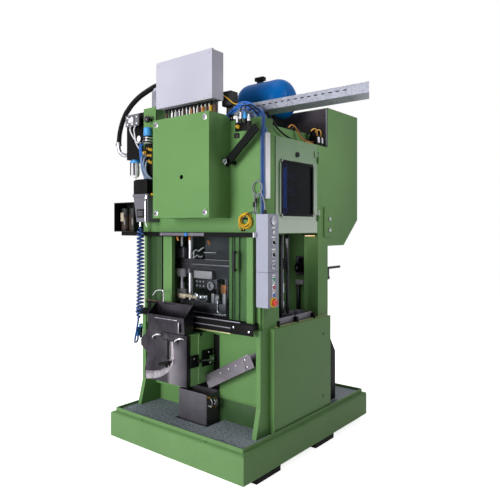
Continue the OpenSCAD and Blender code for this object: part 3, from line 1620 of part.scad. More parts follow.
// Rear handle: a crank for the fill height on the back of the right rear column
handle_hub_z = bed_z + 265;
crank_hub_l = 110;
crank_hub_r = 15;
crank_arm_w = 18;
crank_arm_t = 14;
crank_arm = 75;
crank_grip_l = 175;
crank_grip_r = 10;
module rear_handle() {
  x = body_right - rear_column_w / 2;
  y = body_rear + slide_fit;
  grip_axis_z = handle_hub_z + crank_arm;
  color(black) {
    bar_y(y, y + crank_hub_l, x, handle_hub_z, crank_hub_r);
    block([x - crank_arm_w / 2, y + crank_hub_l - crank_arm_t, handle_hub_z],
          [x + crank_arm_w / 2, y + crank_hub_l, grip_axis_z]);
    bar_y(y + crank_hub_l - crank_arm_t, y + crank_hub_l + crank_grip_l, x, grip_axis_z, crank_grip_r);
  }
}

base_tray();
floor_plate();
floor_pads();
lower_frame();
lower_panels();
cover_screws();
columns();
head_frame();
window_door();
window_pane();
door_lock();
front_cover();
flywheel_guard();
terminal_box();
terminal_lid();
gland_cables();
cable_tray();
tray_strut();
air_tank();
main_shaft();
shaft_bearings();
flywheel();
conrod();
ram();
motor();
motor_pulley();
drive_belt();
upper_tool();
guide_pillars();
die_plate();
guard_rails();
guard_door();
guard_pane();
pendant_box();
pendant_fittings();
selector_upper();
selector_lower();
key_switch();
button_green();
button_red();
button_blue();
estop_button();
cable_duct();
hopper();
hopper_housing();
latch();
chute();
collecting_bin();
valve_cabinet();
air_service_unit();
regulator_knob();
shutoff_knob();
lube_pump();
reservoir_box();
clutch_valve();
cable_runs();
coil_hose();
blow_gun();
blow_trigger();
rear_handle();
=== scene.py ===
# %% [markdown]
# # A green mechanical press, dressed in Blender
# The press was drawn as solids first. This lesson loads those solids as a fixed frame, sets up the camera and
# a plain studio, gives every piece a finish worked out from its real material, and then models the small
# things that the solids leave out or show only roughly: hoses, cables, knobs, labels and connectors.

# %% Load the frame
import math
import bpy
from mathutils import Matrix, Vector


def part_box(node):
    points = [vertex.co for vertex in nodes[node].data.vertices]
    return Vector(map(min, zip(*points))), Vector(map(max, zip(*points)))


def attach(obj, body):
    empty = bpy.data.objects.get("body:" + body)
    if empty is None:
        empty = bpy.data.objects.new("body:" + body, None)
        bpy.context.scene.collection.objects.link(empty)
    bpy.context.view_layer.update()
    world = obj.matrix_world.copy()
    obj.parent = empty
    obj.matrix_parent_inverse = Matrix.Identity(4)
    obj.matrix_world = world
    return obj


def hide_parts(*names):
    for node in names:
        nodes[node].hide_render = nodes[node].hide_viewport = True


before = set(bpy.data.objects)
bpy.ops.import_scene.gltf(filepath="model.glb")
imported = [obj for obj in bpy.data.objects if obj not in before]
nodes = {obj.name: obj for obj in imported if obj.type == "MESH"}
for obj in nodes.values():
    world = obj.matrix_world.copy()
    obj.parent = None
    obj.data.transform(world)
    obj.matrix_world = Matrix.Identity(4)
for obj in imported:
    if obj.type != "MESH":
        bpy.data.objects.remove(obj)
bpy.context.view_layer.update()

# %% [markdown]
# ## Camera
# The photograph was taken level, at about eye height, from the front right. Upright edges stay upright in
# it, so the camera isn't tilted; instead the picture is shifted, as with a view camera.

# %% Camera
CAMERA_PLACE = (2.586, -3.186, 1.5515)
CAMERA_TURN = math.radians(38.6)
LENS_MM = 38.29
SHIFT_DOWN = -0.0448
bpy.ops.object.select_all(action="DESELECT")
bpy.ops.object.camera_add(location=CAMERA_PLACE, rotation=(math.radians(90), 0, CAMERA_TURN))
camera = bpy.context.object
camera.name = "photo_camera"
camera.data.lens = LENS_MM
camera.data.shift_y = SHIFT_DOWN
bpy.context.scene.camera = camera
print("camera", tuple(round(v, 3) for v in camera.location))

# %% [markdown]
# ## Colours and nodes
# Paint charts give sRGB colours, but shaders count in linear light. One function converts them. Another one
# adds a shader node with its settings and links, so that each material below reads as a short recipe.


# %% Colour and node helpers
def linear(hex_colour):
    parts = [int(hex_colour[i:i + 2], 16) / 255 for i in (1, 3, 5)]
    return tuple(p / 12.92 if p <= 0.04045 else ((p + 0.055) / 1.055) ** 2.4 for p in parts) + (1.0,)


def add(tree, kind, links=None, inputs=None, **settings):
    made = tree.nodes.new(kind)
    for key, value in settings.items():
        setattr(made, key, value)
    for key, value in (inputs or {}).items():
        made.inputs[key].default_value = value
    for key, source in (links or {}).items():
        tree.links.new(source, made.inputs[key])
    return made


def empty_material(name):
    material = bpy.data.materials.new(name)
    material.use_nodes = True
    material.node_tree.nodes.clear()
    return material, material.node_tree


def node_of(tree, kind):
    """The first node of a kind in a material's tree."""
    return next(node for node in tree.nodes if node.type == kind)


def place_axes(tree):
    """The place on the piece, split into X, Y and Z in metres."""
    return add(tree, "ShaderNodeSeparateXYZ", {0: node_of(tree, "TEX_COORD").outputs["Object"]})


def seen_directly(tree):
    """1 for rays from the camera, a mirror or glass, and 0 for light that lands on a matte surface."""
    rays = add(tree, "ShaderNodeLightPath")
    seen = add(tree, "ShaderNodeMath", {0: rays.outputs["Is Camera Ray"], 1: rays.outputs["Is Glossy Ray"]},
               operation="MAXIMUM")
    return add(tree, "ShaderNodeMath", {0: seen.outputs[0], 1: rays.outputs["Is Transmission Ray"]},
               operation="MAXIMUM")


print("green paint in linear light", [round(v, 3) for v in linear("#587f4a")])

# %% [markdown]
# ## Studio
# A pale floor catches the press's soft shadow. The background is white for the camera, for mirrors and for
# glass, while the light that reaches the press stays at a plain level.

# %% Floor and background
FLOOR_HALF = 14.0
FLOOR_GLOW = 0.85
ROOM_LIGHT = 0.18
bpy.ops.object.select_all(action="DESELECT")
bpy.ops.mesh.primitive_plane_add(size=2 * FLOOR_HALF, location=(0, 0, 0))
floor = bpy.context.object
floor.name = "studio_floor"
floor_material, tree = empty_material("pale_studio_floor")
seen = seen_directly(tree)
matte = add(tree, "ShaderNodeBsdfDiffuse", inputs={"Color": linear("#f4f4f4")})
glow = add(tree, "ShaderNodeEmission", inputs={"Color": (1, 1, 1, 1), "Strength": FLOOR_GLOW})
both = add(tree, "ShaderNodeAddShader", {0: matte.outputs[0], 1: glow.outputs[0]})
pick = add(tree, "ShaderNodeMixShader", {0: seen.outputs[0], 1: matte.outputs[0], 2: both.outputs[0]})
add(tree, "ShaderNodeOutputMaterial", {"Surface": pick.outputs[0]})
floor.data.materials.append(floor_material)

world = bpy.data.worlds.new("white_studio")
bpy.context.scene.world = world
world.use_nodes = True
tree = world.node_tree
tree.nodes.clear()
seen = seen_directly(tree)
soft = add(tree, "ShaderNodeBackground", inputs={"Color": (1.0, 0.98, 0.92, 1), "Strength": ROOM_LIGHT})
white = add(tree, "ShaderNodeBackground", inputs={"Color": (1, 1, 1, 1), "Strength": 1.0})
pick = add(tree, "ShaderNodeMixShader", {0: seen.outputs[0], 1: soft.outputs[0], 2: white.outputs[0]})
add(tree, "ShaderNodeOutputWorld", {"Surface": pick.outputs[0]})
bpy.context.scene.view_settings.view_transform = "Standard"
print("floor and background ready")


# %% [markdown]
# Soft round lamps light the press: a strong one in front, weaker ones at the right, above and behind, one
# for the sheen of the window door and a small one inside the feed opening.


# %% Lamps
def soft_lamp(name, place, target, size, watts):
    aim = (Vector(target) - Vector(place)).to_track_quat("-Z", "Y").to_euler()
    bpy.ops.object.select_all(action="DESELECT")
    bpy.ops.object.light_add(type="AREA", location=place, rotation=aim)
    lamp = bpy.context.object
    lamp.name = name
    lamp.data.shape = "DISK"
    lamp.data.size = size
    lamp.data.energy = watts
    return lamp


soft_lamp("key_front", (-0.6, -6.2, 2.0), (0, -0.3, 1.2), 2.6, 330)
soft_lamp("fill_right", (4.6, 0.6, 3.4), (0.3, 0, 1.5), 2.6, 4)
soft_lamp("door_light", (2.5, 0.5, 3.0), (0.55, -0.1, 1.95), 1.0, 4).data.spread = math.radians(60)
soft_lamp("feed_light", (0.44, -0.06, 1.46), (0.44, 0.24, 1.05), 0.16, 0.3)
soft_lamp("top", (0.3, -0.6, 6.4), (0, 0, 1.5), 3.0, 70)
soft_lamp("rear", (-2.8, 4.2, 3.6), (0, 0, 1.6), 2.6, 110)

# %% [markdown]
# ## Finishes
# Most of the press is sheet and plate in one machine paint. Sprayed paint has a faint orange peel a few
# millimetres wide, and slow changes of tone where coats overlap. The same recipe, with other sizes, makes
# powder coat, moulded plastic and rubber. Brushed metal stretches its grain along one direction.


# %% Finish recipe
TONE_LOW, TONE_HIGH = 0.32, 0.68
BUMP_HEIGHT = 0.0006


def finish(name, colours, grain_mm, rough, metallic=0.0, bump=0.0, stretch=(1, 1, 1), tone_mm=400.0, fine=0.5,
           coat=0.0, spec=0.35):
    """A surface with two tones, a slow drift of tone, a fine grain in roughness and a shallow bump."""
    material, tree = empty_material(name)
    place = add(tree, "ShaderNodeTexCoord")
    stretched = add(tree, "ShaderNodeMapping", {"Vector": place.outputs["Object"]}, {"Scale": stretch})
    grain = add(tree, "ShaderNodeTexNoise", {"Vector": stretched.outputs[0]},
                {"Scale": 1000.0 / grain_mm, "Detail": 3.0, "Roughness": 0.6})
    drift = add(tree, "ShaderNodeTexNoise", {"Vector": place.outputs["Object"]},
                {"Scale": 1000.0 / tone_mm, "Detail": 4.0, "Roughness": 0.55})
    share = add(tree, "ShaderNodeMix", {"A": drift.outputs["Fac"], "B": grain.outputs["Fac"]},
                {"Factor": fine}, data_type="FLOAT")
    tones = add(tree, "ShaderNodeValToRGB", {"Fac": share.outputs[0]})
    tones.color_ramp.elements[0].position = TONE_LOW
    tones.color_ramp.elements[0].color = linear(colours[0])
    tones.color_ramp.elements[1].position = TONE_HIGH
    tones.color_ramp.elements[1].color = linear(colours[1])
    gloss = add(tree, "ShaderNodeMapRange", {"Value": share.outputs[0]},
                {"From Min": 0.3, "From Max": 0.7, "To Min": rough[0], "To Max": rough[1]})
    shader = add(tree, "ShaderNodeBsdfPrincipled",
                 {"Base Color": tones.outputs["Color"], "Roughness": gloss.outputs[0]},
                 {"Metallic": metallic, "Coat Weight": coat, "Specular IOR Level": spec})
    if bump:
        relief = add(tree, "ShaderNodeBump", {"Height": grain.outputs["Fac"]},
                     {"Strength": bump, "Distance": BUMP_HEIGHT})
        tree.links.new(relief.outputs[0], shader.inputs["Normal"])
    add(tree, "ShaderNodeOutputMaterial", {"Surface": shader.outputs[0]})
    return material


# Sprayed machine enamel: orange peel of about 6 mm, drawn coarse enough to show.
green = finish("green_machine_enamel", ("#587f4a", "#658c55"), 6.0, (0.34, 0.48), bump=0.12, tone_mm=600,
               fine=0.3, spec=0.16)
# The window door mirrors more than the rest, most of all in its lower half.
glossy_green = finish("wiped_green_enamel", ("#4d6e48", "#5b7d56"), 6.0, (0.3, 0.42), bump=0.1, tone_mm=500,
                      fine=0.3)
door_tree = glossy_green.node_tree
DOOR_FOOT, DOOR_TOP = 1.52, 2.12
wiped = add(door_tree, "ShaderNodeMapRange", {"Value": place_axes(door_tree).outputs["Z"]},
            {"From Min": DOOR_FOOT, "From Max": DOOR_TOP, "To Min": 1.0, "To Max": 0.12})
enamel = node_of(door_tree, "BSDF_PRINCIPLED")
door_tree.links.new(wiped.outputs[0], enamel.inputs["Coat Weight"])
enamel.inputs["Coat IOR"].default_value = 3.0
enamel.inputs["Coat Roughness"].default_value = 0.25
# The tray wears the same enamel, duller from oil and shoes.
tray_green = finish("worn_tray_enamel", ("#5b7f4d", "#6b8e5c"), 9.0, (0.45, 0.6), bump=0.15, tone_mm=350,
                    fine=0.4, spec=0.16)
# Anti-slip coating: grit of about 4 mm in blue-grey paint, drawn at 14 mm so that it shows.
grit = finish("gritty_floor_coating", ("#383f47", "#9ea8b3"), 14.0, (0.7, 0.9), bump=0.6, tone_mm=500,
              fine=0.88)
# Powder coat on cabinets: very fine texture of about 2 mm.
powder = finish("lilac_grey_powder_coat", ("#aeadbe", "#bcbbca"), 2.0, (0.42, 0.55), bump=0.1, tone_mm=500,
                fine=0.35)
# Stoved enamel on the pump, satin paint on brackets, and plastic and rubber with finer grain.
pump_grey = finish("grey_pump_enamel", ("#53525b", "#676670"), 3.0, (0.4, 0.55), bump=0.1, tone_mm=300,
                   fine=0.35)
black_paint = finish("black_satin_paint", ("#050506", "#0b0b0d"), 4.0, (0.4, 0.55), bump=0.1, tone_mm=250,
                     fine=0.4, spec=0.08)
black_plastic = finish("black_moulded_plastic", ("#050506", "#0d0d0f"), 1.5, (0.42, 0.58), bump=0.08,
                       tone_mm=150, spec=0.22)
rubber = finish("black_rubber", ("#09090a", "#131315"), 2.5, (0.75, 0.92), bump=0.2, tone_mm=120, spec=0.15)
# Stainless sheet: rolled grain, a fraction of a millimetre wide and long along Z, drawn coarser to show.
# It mirrors dark surroundings, so its tone is written low.
stainless = finish("brushed_stainless_sheet", ("#232026", "#454149"), 14.0, (0.26, 0.4), metallic=1.0,
                   bump=0.05, stretch=(1.0, 1.0, 0.15), tone_mm=160, fine=0.35)
# Beside the slot a painted highlight lightens the sheet, fading out to the right and upwards.
steel_tree = stainless.node_tree
HIGHLIGHT_FROM, HIGHLIGHT_MOST, HIGHLIGHT_TO = -0.125, -0.095, 0.05
HIGHLIGHT_FULL, HIGHLIGHT_END = 0.72, 0.8
metal = node_of(steel_tree, "BSDF_PRINCIPLED")
tone = node_of(steel_tree, "VALTORGB")
spot = place_axes(steel_tree)
begin_x = add(steel_tree, "ShaderNodeMapRange", {"Value": spot.outputs["X"]},
              {"From Min": HIGHLIGHT_FROM, "From Max": HIGHLIGHT_MOST})
end_x = add(steel_tree, "ShaderNodeMapRange", {"Value": spot.outputs["X"]},
            {"From Min": HIGHLIGHT_MOST, "From Max": HIGHLIGHT_TO, "To Min": 0.55, "To Max": 0.0})
below = add(steel_tree, "ShaderNodeMapRange", {"Value": spot.outputs["Z"]},
            {"From Min": HIGHLIGHT_FULL, "From Max": HIGHLIGHT_END, "To Min": 1.0, "To Max": 0.0})
highlight_share = add(steel_tree, "ShaderNodeMath", {0: begin_x.outputs[0], 1: end_x.outputs[0]}, operation="MULTIPLY")
highlight_share = add(steel_tree, "ShaderNodeMath", {0: highlight_share.outputs[0], 1: below.outputs[0]}, operation="MULTIPLY")
brighter = add(steel_tree, "ShaderNodeMix", {"Factor": highlight_share.outputs[0], "A": tone.outputs["Color"]},
               {"B": linear("#97919a")}, data_type="RGBA")
steel_tree.links.new(brighter.outputs["Result"], metal.inputs["Base Color"])
# Galvanised sheet: zinc flowers of about 15 mm.
zinc = finish("galvanised_sheet", ("#6b6d78", "#9799a5"), 15.0, (0.36, 0.52), metallic=0.55, tone_mm=120,
              fine=0.6, spec=0.25)
# Ground steel keeps the lines of the wheel, drawn at 10 mm. Chrome plate is smoother.
steel = finish("ground_steel", ("#7f7f86", "#a9a9b0"), 10.0, (0.22, 0.36), metallic=1.0, bump=0.04,
               stretch=(1.0, 1.0, 0.2), tone_mm=200, fine=0.4)
chrome = finish("bright_chrome_plate", ("#9a9aa2", "#d0d0d6"), 8.0, (0.08, 0.16), metallic=1.0, tone_mm=60,
                fine=0.3)
# Hardened tool steel, rough cast iron and bearing bronze.
tool_steel = finish("dark_tool_steel", ("#26262a", "#45454b"), 8.0, (0.34, 0.5), metallic=0.9, bump=0.06,
                    stretch=(0.3, 1.0, 1.0), tone_mm=180, fine=0.45)
iron = finish("cast_iron_grey", ("#2e3034", "#484b50"), 5.0, (0.55, 0.72), metallic=0.3, bump=0.35,
              tone_mm=150)
bronze = finish("bearing_bronze", ("#7a5c2c", "#a07c40"), 6.0, (0.3, 0.45), metallic=1.0, tone_mm=100)
# Sprayed enamel of the air tank, and the dyed plastics of knobs and cable trunking.
tank_blue = finish("blue_tank_enamel", ("#04579f", "#0868b8"), 5.0, (0.3, 0.42), bump=0.06, tone_mm=400,
                   fine=0.3, spec=0.07)
blue_plastic = finish("blue_moulded_plastic", ("#1a63b2", "#2a7ac8"), 2.0, (0.35, 0.5), bump=0.06, tone_mm=90)
white_plastic = finish("white_trunking_plastic", ("#ecebf3", "#f8f7fc"), 2.0, (0.3, 0.45), bump=0.05,
                       tone_mm=300)
# Polyurethane hose is smooth and half glossy. Cable jackets are soft plastic, a little waxy.
pipe_blue = finish("blue_polyurethane_hose", ("#123264", "#1f4c90"), 3.0, (0.25, 0.4), tone_mm=60, spec=0.4)
hose_blue = finish("bright_blue_air_hose", ("#1f56a6", "#3277cf"), 3.0, (0.3, 0.45), tone_mm=60, spec=0.3)
yellow = finish("yellow_cable_jacket", ("#b98c10", "#dcae22"), 3.0, (0.4, 0.55), tone_mm=60)
brown = finish("brown_cable_jacket", ("#3a2a20", "#58402e"), 3.0, (0.45, 0.6), tone_mm=60)
grey_cable = finish("grey_cable_jacket", ("#6d6f76", "#8b8d95"), 3.0, (0.4, 0.55), tone_mm=60)
# Small mouldings: fittings, filter bowl, gloss knobs and the dark glass of a display.
pale_blue = finish("light_blue_plastic", ("#2b86d0", "#4aa4e6"), 2.0, (0.3, 0.45), bump=0.05, tone_mm=60)
milky = finish("milky_polyamide", ("#c9c9d0", "#e4e4ea"), 4.0, (0.2, 0.35), tone_mm=60)
black_gloss = finish("black_gloss_plastic", ("#060607", "#101013"), 3.0, (0.08, 0.16), tone_mm=80, spec=0.45)
display = finish("dark_display_glass", ("#0b0d10", "#16191d"), 2.0, (0.1, 0.2), tone_mm=40, spec=0.4)
# Unpainted sheet inside the flywheel guard, dark and dull.
dark_sheet = finish("dull_dark_sheet", ("#2f2a2f", "#4f474e"), 20.0, (0.45, 0.6), metallic=0.5, tone_mm=250,
                    fine=0.3, spec=0.25)
# Lighter hose and an orange cable among the others.
bright_blue = finish("light_blue_hose", ("#2f6dc4", "#4a8ae0"), 3.0, (0.25, 0.4), tone_mm=60)
orange = finish("orange_cable_jacket", ("#a8641e", "#c98434"), 3.0, (0.4, 0.55), tone_mm=60)
# The same sheet where it is rolled or polished, made lighter as a painted highlight where it looks at the lit
# floor.
polish_and_highlight = finish("polished_stainless_and_highlight", ("#6f6a72", "#a7a1a9"), 30.0, (0.25, 0.4), metallic=1.0,
                  tone_mm=60, fine=0.3)
chute_steel = finish("milled_stainless_chute", ("#57535b", "#77727b"), 14.0, (0.3, 0.45), metallic=0.6,
                     bump=0.04, stretch=(0.2, 1.0, 1.0), tone_mm=200, fine=0.4)
bin_steel = finish("dull_stainless_bin", ("#46444b", "#615e66"), 14.0, (0.4, 0.55), metallic=0.5, tone_mm=150,
                   fine=0.4)
# Worn trays in the feed opening and a brass edge strip.
dull_tray = finish("dull_feed_tray", ("#605d67", "#827e88"), 10.0, (0.45, 0.6), metallic=0.5, tone_mm=90)
brass = finish("brass_strip", ("#8c8462", "#b0a880"), 8.0, (0.3, 0.45), metallic=0.8, tone_mm=80)
# Tool space: light ground blocks, a beige cast arm and a copper block.
light_steel = finish("light_ground_steel", ("#8d8a90", "#aaa6ac"), 6.0, (0.4, 0.55), metallic=0.3,
                     tone_mm=80)
beige = finish("beige_cast_arm", ("#9a8f7a", "#b8ad98"), 5.0, (0.4, 0.55), metallic=0.3, tone_mm=60)
copper = finish("copper_block", ("#7a4a2a", "#a06a44"), 5.0, (0.35, 0.5), metallic=0.6, tone_mm=50)
# The machine enamel again: darker as painted shade in folds, paler as a painted highlight on edges.
shaded_green = finish("green_enamel_painted_shade", ("#2c4526", "#3b5733"), 6.0, (0.45, 0.6), bump=0.1, tone_mm=200,
                      fine=0.3, spec=0.2)
highlight_green = finish("green_edge_painted_highlight", ("#86ab78", "#9dbf8f"), 6.0, (0.4, 0.55), tone_mm=200, fine=0.3)
# Blank label plates, the ring of the stop button, solenoid cases and grey-blue tubes.
label_grey = finish("grey_label_plate", ("#8a8b96", "#a3a4ae"), 2.0, (0.35, 0.5), tone_mm=40)
signal_yellow = finish("yellow_stop_ring", ("#d8ab18", "#ecc53a"), 2.0, (0.35, 0.5), tone_mm=40)
solenoid_grey = finish("grey_solenoid_case", ("#56565c", "#76767e"), 3.0, (0.4, 0.55), tone_mm=60)
steel_blue = finish("grey_blue_tube", ("#5a6a82", "#8494ac"), 3.0, (0.3, 0.45), tone_mm=60)
# Enamel with painted shade deep in the column, and a lighter copy of the enamel, painted light, on the
# housing.
deep_shade_green = finish("green_enamel_painted_deep_shade", ("#243920", "#324c2b"), 6.0, (0.5, 0.65), bump=0.1, tone_mm=200,
                    fine=0.3, spec=0.1)
lit_housing_green = finish("green_enamel_painted_light", ("#6d9a5e", "#7aa86b"), 6.0, (0.34, 0.48), bump=0.12,
                       tone_mm=400, fine=0.3)
# Powder coat of the pendant, and smoked plastic of the oil bottles.
pendant_grey = finish("grey_pendant_coat", ("#9496a9", "#a3a5b7"), 2.0, (0.45, 0.58), bump=0.1, tone_mm=400,
                      fine=0.35, spec=0.25)
smoked = finish("smoked_brown_bottle", ("#140d09", "#32231a"), 4.0, (0.15, 0.3), tone_mm=60, spec=0.25)
print("finishes", len(bpy.data.materials))


# %% [markdown]
# Window and guard are thin clear sheets. They are mixed from see-through and gloss, which costs less than
# true glass and lets the lamps light what lies behind. Button caps are glossy dyed plastic.


# %% Glass and caps
def clear_sheet(name, tint, through, rough, face):
    """A thin sheet that lets most light pass and mirrors a little: mixed from see-through and gloss."""
    material, tree = empty_material(name)
    edge = add(tree, "ShaderNodeLayerWeight", inputs={"Blend": 0.25})
    share = add(tree, "ShaderNodeMapRange", {"Value": edge.outputs["Facing"]},
                {"From Min": 0.0, "From Max": 1.0, "To Min": through[0], "To Max": through[1]})
    clear = add(tree, "ShaderNodeBsdfTransparent", inputs={"Color": linear(tint)})
    glossy = add(tree, "ShaderNodeBsdfPrincipled",
                 inputs={"Base Color": linear("#14181e"), "Roughness": rough, "Specular IOR Level": 0.4})
    mixed = add(tree, "ShaderNodeMixShader",
                {0: share.outputs[0], 1: clear.outputs[0], 2: glossy.outputs[0]})
    # Sawn edges scatter light and look pale; the pale colour is also a painted highlight along the sheet's
    # edges.
    # They are the faces that don't look the way the sheet faces.
    shape = add(tree, "ShaderNodeNewGeometry")
    way = add(tree, "ShaderNodeVectorMath", {0: shape.outputs["True Normal"]}, {1: face},
              operation="DOT_PRODUCT")
    flat = add(tree, "ShaderNodeMath", {0: way.outputs["Value"]}, operation="ABSOLUTE")
    sawn = add(tree, "ShaderNodeMath", {0: flat.outputs[0]}, {1: 0.5}, operation="LESS_THAN")
    frosted_and_highlight = add(tree, "ShaderNodeBsdfDiffuse", inputs={"Color": linear("#b4c2be")})
    whole = add(tree, "ShaderNodeMixShader", {0: sawn.outputs[0], 1: mixed.outputs[0], 2: frosted_and_highlight.outputs[0]})
    add(tree, "ShaderNodeOutputMaterial", {"Surface": whole.outputs[0]})
    return material


warm_lamp, tree = empty_material("warm_lamp_glass")
place = add(tree, "ShaderNodeTexCoord")
grain = add(tree, "ShaderNodeTexNoise", {"Vector": place.outputs["Object"]}, {"Scale": 40.0})
warmth = add(tree, "ShaderNodeValToRGB", {"Fac": grain.outputs["Fac"]})
warmth.color_ramp.elements[0].color = linear("#e8a848")
warmth.color_ramp.elements[1].color = linear("#fff0c8")
lit = add(tree, "ShaderNodeEmission", {"Color": warmth.outputs["Color"]}, {"Strength": 1.2})
add(tree, "ShaderNodeOutputMaterial", {"Surface": lit.outputs[0]})
window_glass = clear_sheet("tinted_window_glass", "#c4cce0", (0.1, 0.4), 0.08, (1, 0, 0))
guard_sheet = clear_sheet("clear_polycarbonate", "#f2f5f5", (0.05, 0.3), 0.06, (0, 1, 0))
CAP_COLOURS = {"button_green": "#1f8a6c", "button_red": "#a83652", "button_blue": "#2b5bb0",
               "estop_button": "#c42a24"}
caps = {}
for part, colour in CAP_COLOURS.items():
    lighter = "#" + "".join(f"{min(255, int(colour[i:i + 2], 16) + 22):02x}" for i in (1, 3, 5))
    caps[part] = finish(part + "_gloss_plastic", (colour, lighter), 2.0, (0.2, 0.32), tone_mm=30, coat=0.3)
print("caps", list(caps))

# %% [markdown]
# ## Finishes on the solids
# A solid whose shape is already right keeps its mesh and only gets its finish.

# %% Dress the solids
DRESS = {
    glossy_green: ["window_door"],
    green: ["lower_frame", "lower_panels", "columns", "head_frame", "front_cover", "flywheel_guard",
            "guard_door"],
    # The housing takes the lighter copy of the enamel, with painted light.
    lit_housing_green: ["hopper_housing"],
    tray_green: ["base_tray"],
    grit: ["floor_plate"],
    rubber: ["floor_pads", "drive_belt"],
    powder: ["terminal_box", "terminal_lid"],
    pendant_grey: ["pendant_box"],
    zinc: ["cable_tray"],
    black_paint: ["tray_strut", "guard_rails", "valve_cabinet", "clutch_valve"],
    black_plastic: ["door_lock", "gland_cables", "pendant_fittings", "selector_upper", "selector_lower",
                    "latch", "shutoff_knob", "reservoir_box", "cable_runs", "blow_trigger", "rear_handle"],
    stainless: ["hopper"],
    chute_steel: ["chute"],
    bin_steel: ["collecting_bin"],
    chrome: ["cover_screws"],
    steel: ["main_shaft", "guide_pillars", "key_switch"],
    tool_steel: ["conrod", "motor_pulley", "upper_tool", "die_plate"],
    iron: ["flywheel", "motor", "ram"],
    bronze: ["shaft_bearings"],
    tank_blue: ["air_tank"],
    blue_plastic: ["air_service_unit", "regulator_knob", "blow_gun"],
    pump_grey: ["lube_pump"],
    white_plastic: ["cable_duct"],
    pipe_blue: ["coil_hose"],
    window_glass: ["window_pane"],
    guard_sheet: ["guard_pane"],
}
DRESS.update({caps[part]: [part] for part in caps})
dressed = set()
for material, parts in DRESS.items():
    for part in parts:
        mesh = nodes[part].data
        if not mesh.materials:
            mesh.materials.append(material)
        for place in range(len(mesh.materials)):
            mesh.materials[place] = material
        dressed.add(part)


# %% [markdown]
# Some pieces are welded or bolted together from parts with two finishes. Their faces are sorted by place: the
# tank's feet and valve, the grip of the sliding guard, the duct at the rear and the painted screws low down.


# %% Second finishes
def second_finish(part, material, test):
    mesh = nodes[part].data
    mesh.materials.append(material)
    chosen = [face for face in mesh.polygons if test(face.center, face.normal)]
    for face in chosen:
        face.material_index = len(mesh.materials) - 1
    print(part, material.name, len(chosen), "faces")


TANK_FEET, TANK_VALVE = 2.372, 2.676
GRIP_FRONT, DUCT_FRONT, PAINTED_BELOW = -0.5625, 0.325, 0.9
second_finish("air_tank", black_paint, lambda place, way: place.z < TANK_FEET or place.z > TANK_VALVE)
second_finish("guard_door", black_plastic, lambda place, way: place.y < GRIP_FRONT)
second_finish("lower_panels", black_paint, lambda place, way: place.y > DUCT_FRONT)
second_finish("lower_panels", bin_steel, lambda place, way: place.y > DUCT_FRONT and way.z > 0.2)
second_finish("cover_screws", green, lambda place, way: place.z < PAINTED_BELOW)
print("undressed:", sorted(set(nodes) - dressed))

# %% [markdown]
# ## Modelling helpers
# The small pieces are made the way a hand modeller makes them: a primitive is laid down, then cut, pushed
# out, bevelled and joined. Turned parts such as knobs and fittings grow from a disc, ring by ring. Hoses are
# curves that are turned into meshes. All sizes are written in millimetres.

# %% Starting, shaping and settling a piece
AXES = {"x": (0, math.radians(90), 0), "-x": (0, math.radians(-90), 0), "y": (math.radians(-90), 0, 0),
        "-y": (math.radians(90), 0, 0), "z": (0, 0, 0), "-z": (math.radians(180), 0, 0)}


def metres(point):
    return Vector([v / 1000 for v in point])


def begin(operator, name, **options):
    """Lay down one primitive, alone in the selection, and name it."""
    bpy.ops.object.select_all(action="DESELECT")
    operator(**options)
    piece = bpy.context.object
    piece.name = piece.data.name = name
    return piece


def slab(low, high, edge=2.0, name="slab"):
    """A block from corner to corner with rounded edges."""
    low, high = metres(low), metres(high)
    piece = begin(bpy.ops.mesh.primitive_cube_add, name, size=1, location=(low + high) / 2)
    bpy.ops.transform.resize(value=high - low)
    bpy.ops.object.transform_apply(location=True, rotation=True, scale=True)
    if edge:
        rounding = piece.modifiers.new("edge", "BEVEL")
        rounding.width = edge / 1000
        rounding.segments = 2
        bpy.ops.object.modifier_apply(modifier="edge")
    return piece


def turned(place, axis, rings, sides=32, name="turned"):
    """A turned part: a disc pushed along its axis. Each ring is (distance, radius) from the place."""
    piece = begin(bpy.ops.mesh.primitive_circle_add, name, vertices=sides, radius=rings[0][1] / 1000,
                  fill_type="NGON", location=(0, 0, rings[0][0] / 1000))
    bpy.ops.object.transform_apply(location=True, rotation=True, scale=True)
    bpy.ops.object.mode_set(mode="EDIT")
    bpy.ops.mesh.select_all(action="SELECT")
    for (z, r), (next_z, next_r) in zip(rings, rings[1:]):
        bpy.ops.mesh.extrude_region_move(TRANSFORM_OT_translate={"value": (0, 0, (next_z - z) / 1000)})
        bpy.ops.transform.resize(value=(next_r / r, next_r / r, 1), center_override=(0, 0, next_z / 1000))
    bpy.ops.mesh.select_all(action="SELECT")
    bpy.ops.mesh.normals_make_consistent(inside=False)
    bpy.ops.object.mode_set(mode="OBJECT")
    if isinstance(axis, str):
        piece.rotation_euler = AXES[axis]
    else:
        piece.rotation_euler = Vector(axis).to_track_quat("Z", "Y").to_euler()
    piece.location = metres(place)
    bpy.ops.object.transform_apply(location=True, rotation=True, scale=True)
    return piece


def route(points, step):
    """Even points, step millimetres apart, on a smooth line through the given ones."""
    knots = [Vector(p) for p in points]
    knots = [2 * knots[0] - knots[1]] + knots + [2 * knots[-1] - knots[-2]]
    fine = []
    for a, b, c, d in zip(knots, knots[1:], knots[2:], knots[3:]):
        for i in range(40):
            t = i / 40
            fine.append(0.5 * (2 * b + (c - a) * t + (2 * a - 5 * b + 4 * c - d) * t * t
                               + (3 * b - a - 3 * c + d) * t ** 3))
    fine.append(knots[-2])
    even, left = [fine[0]], step
    for a, b in zip(fine, fine[1:]):
        span = (b - a).length
        while span >= left and span > 0:
            a = a + (b - a) * (left / span)
            even.append(a)
            span, left = (b - a).length, step
        left -= span
    return even + [fine[-1]]


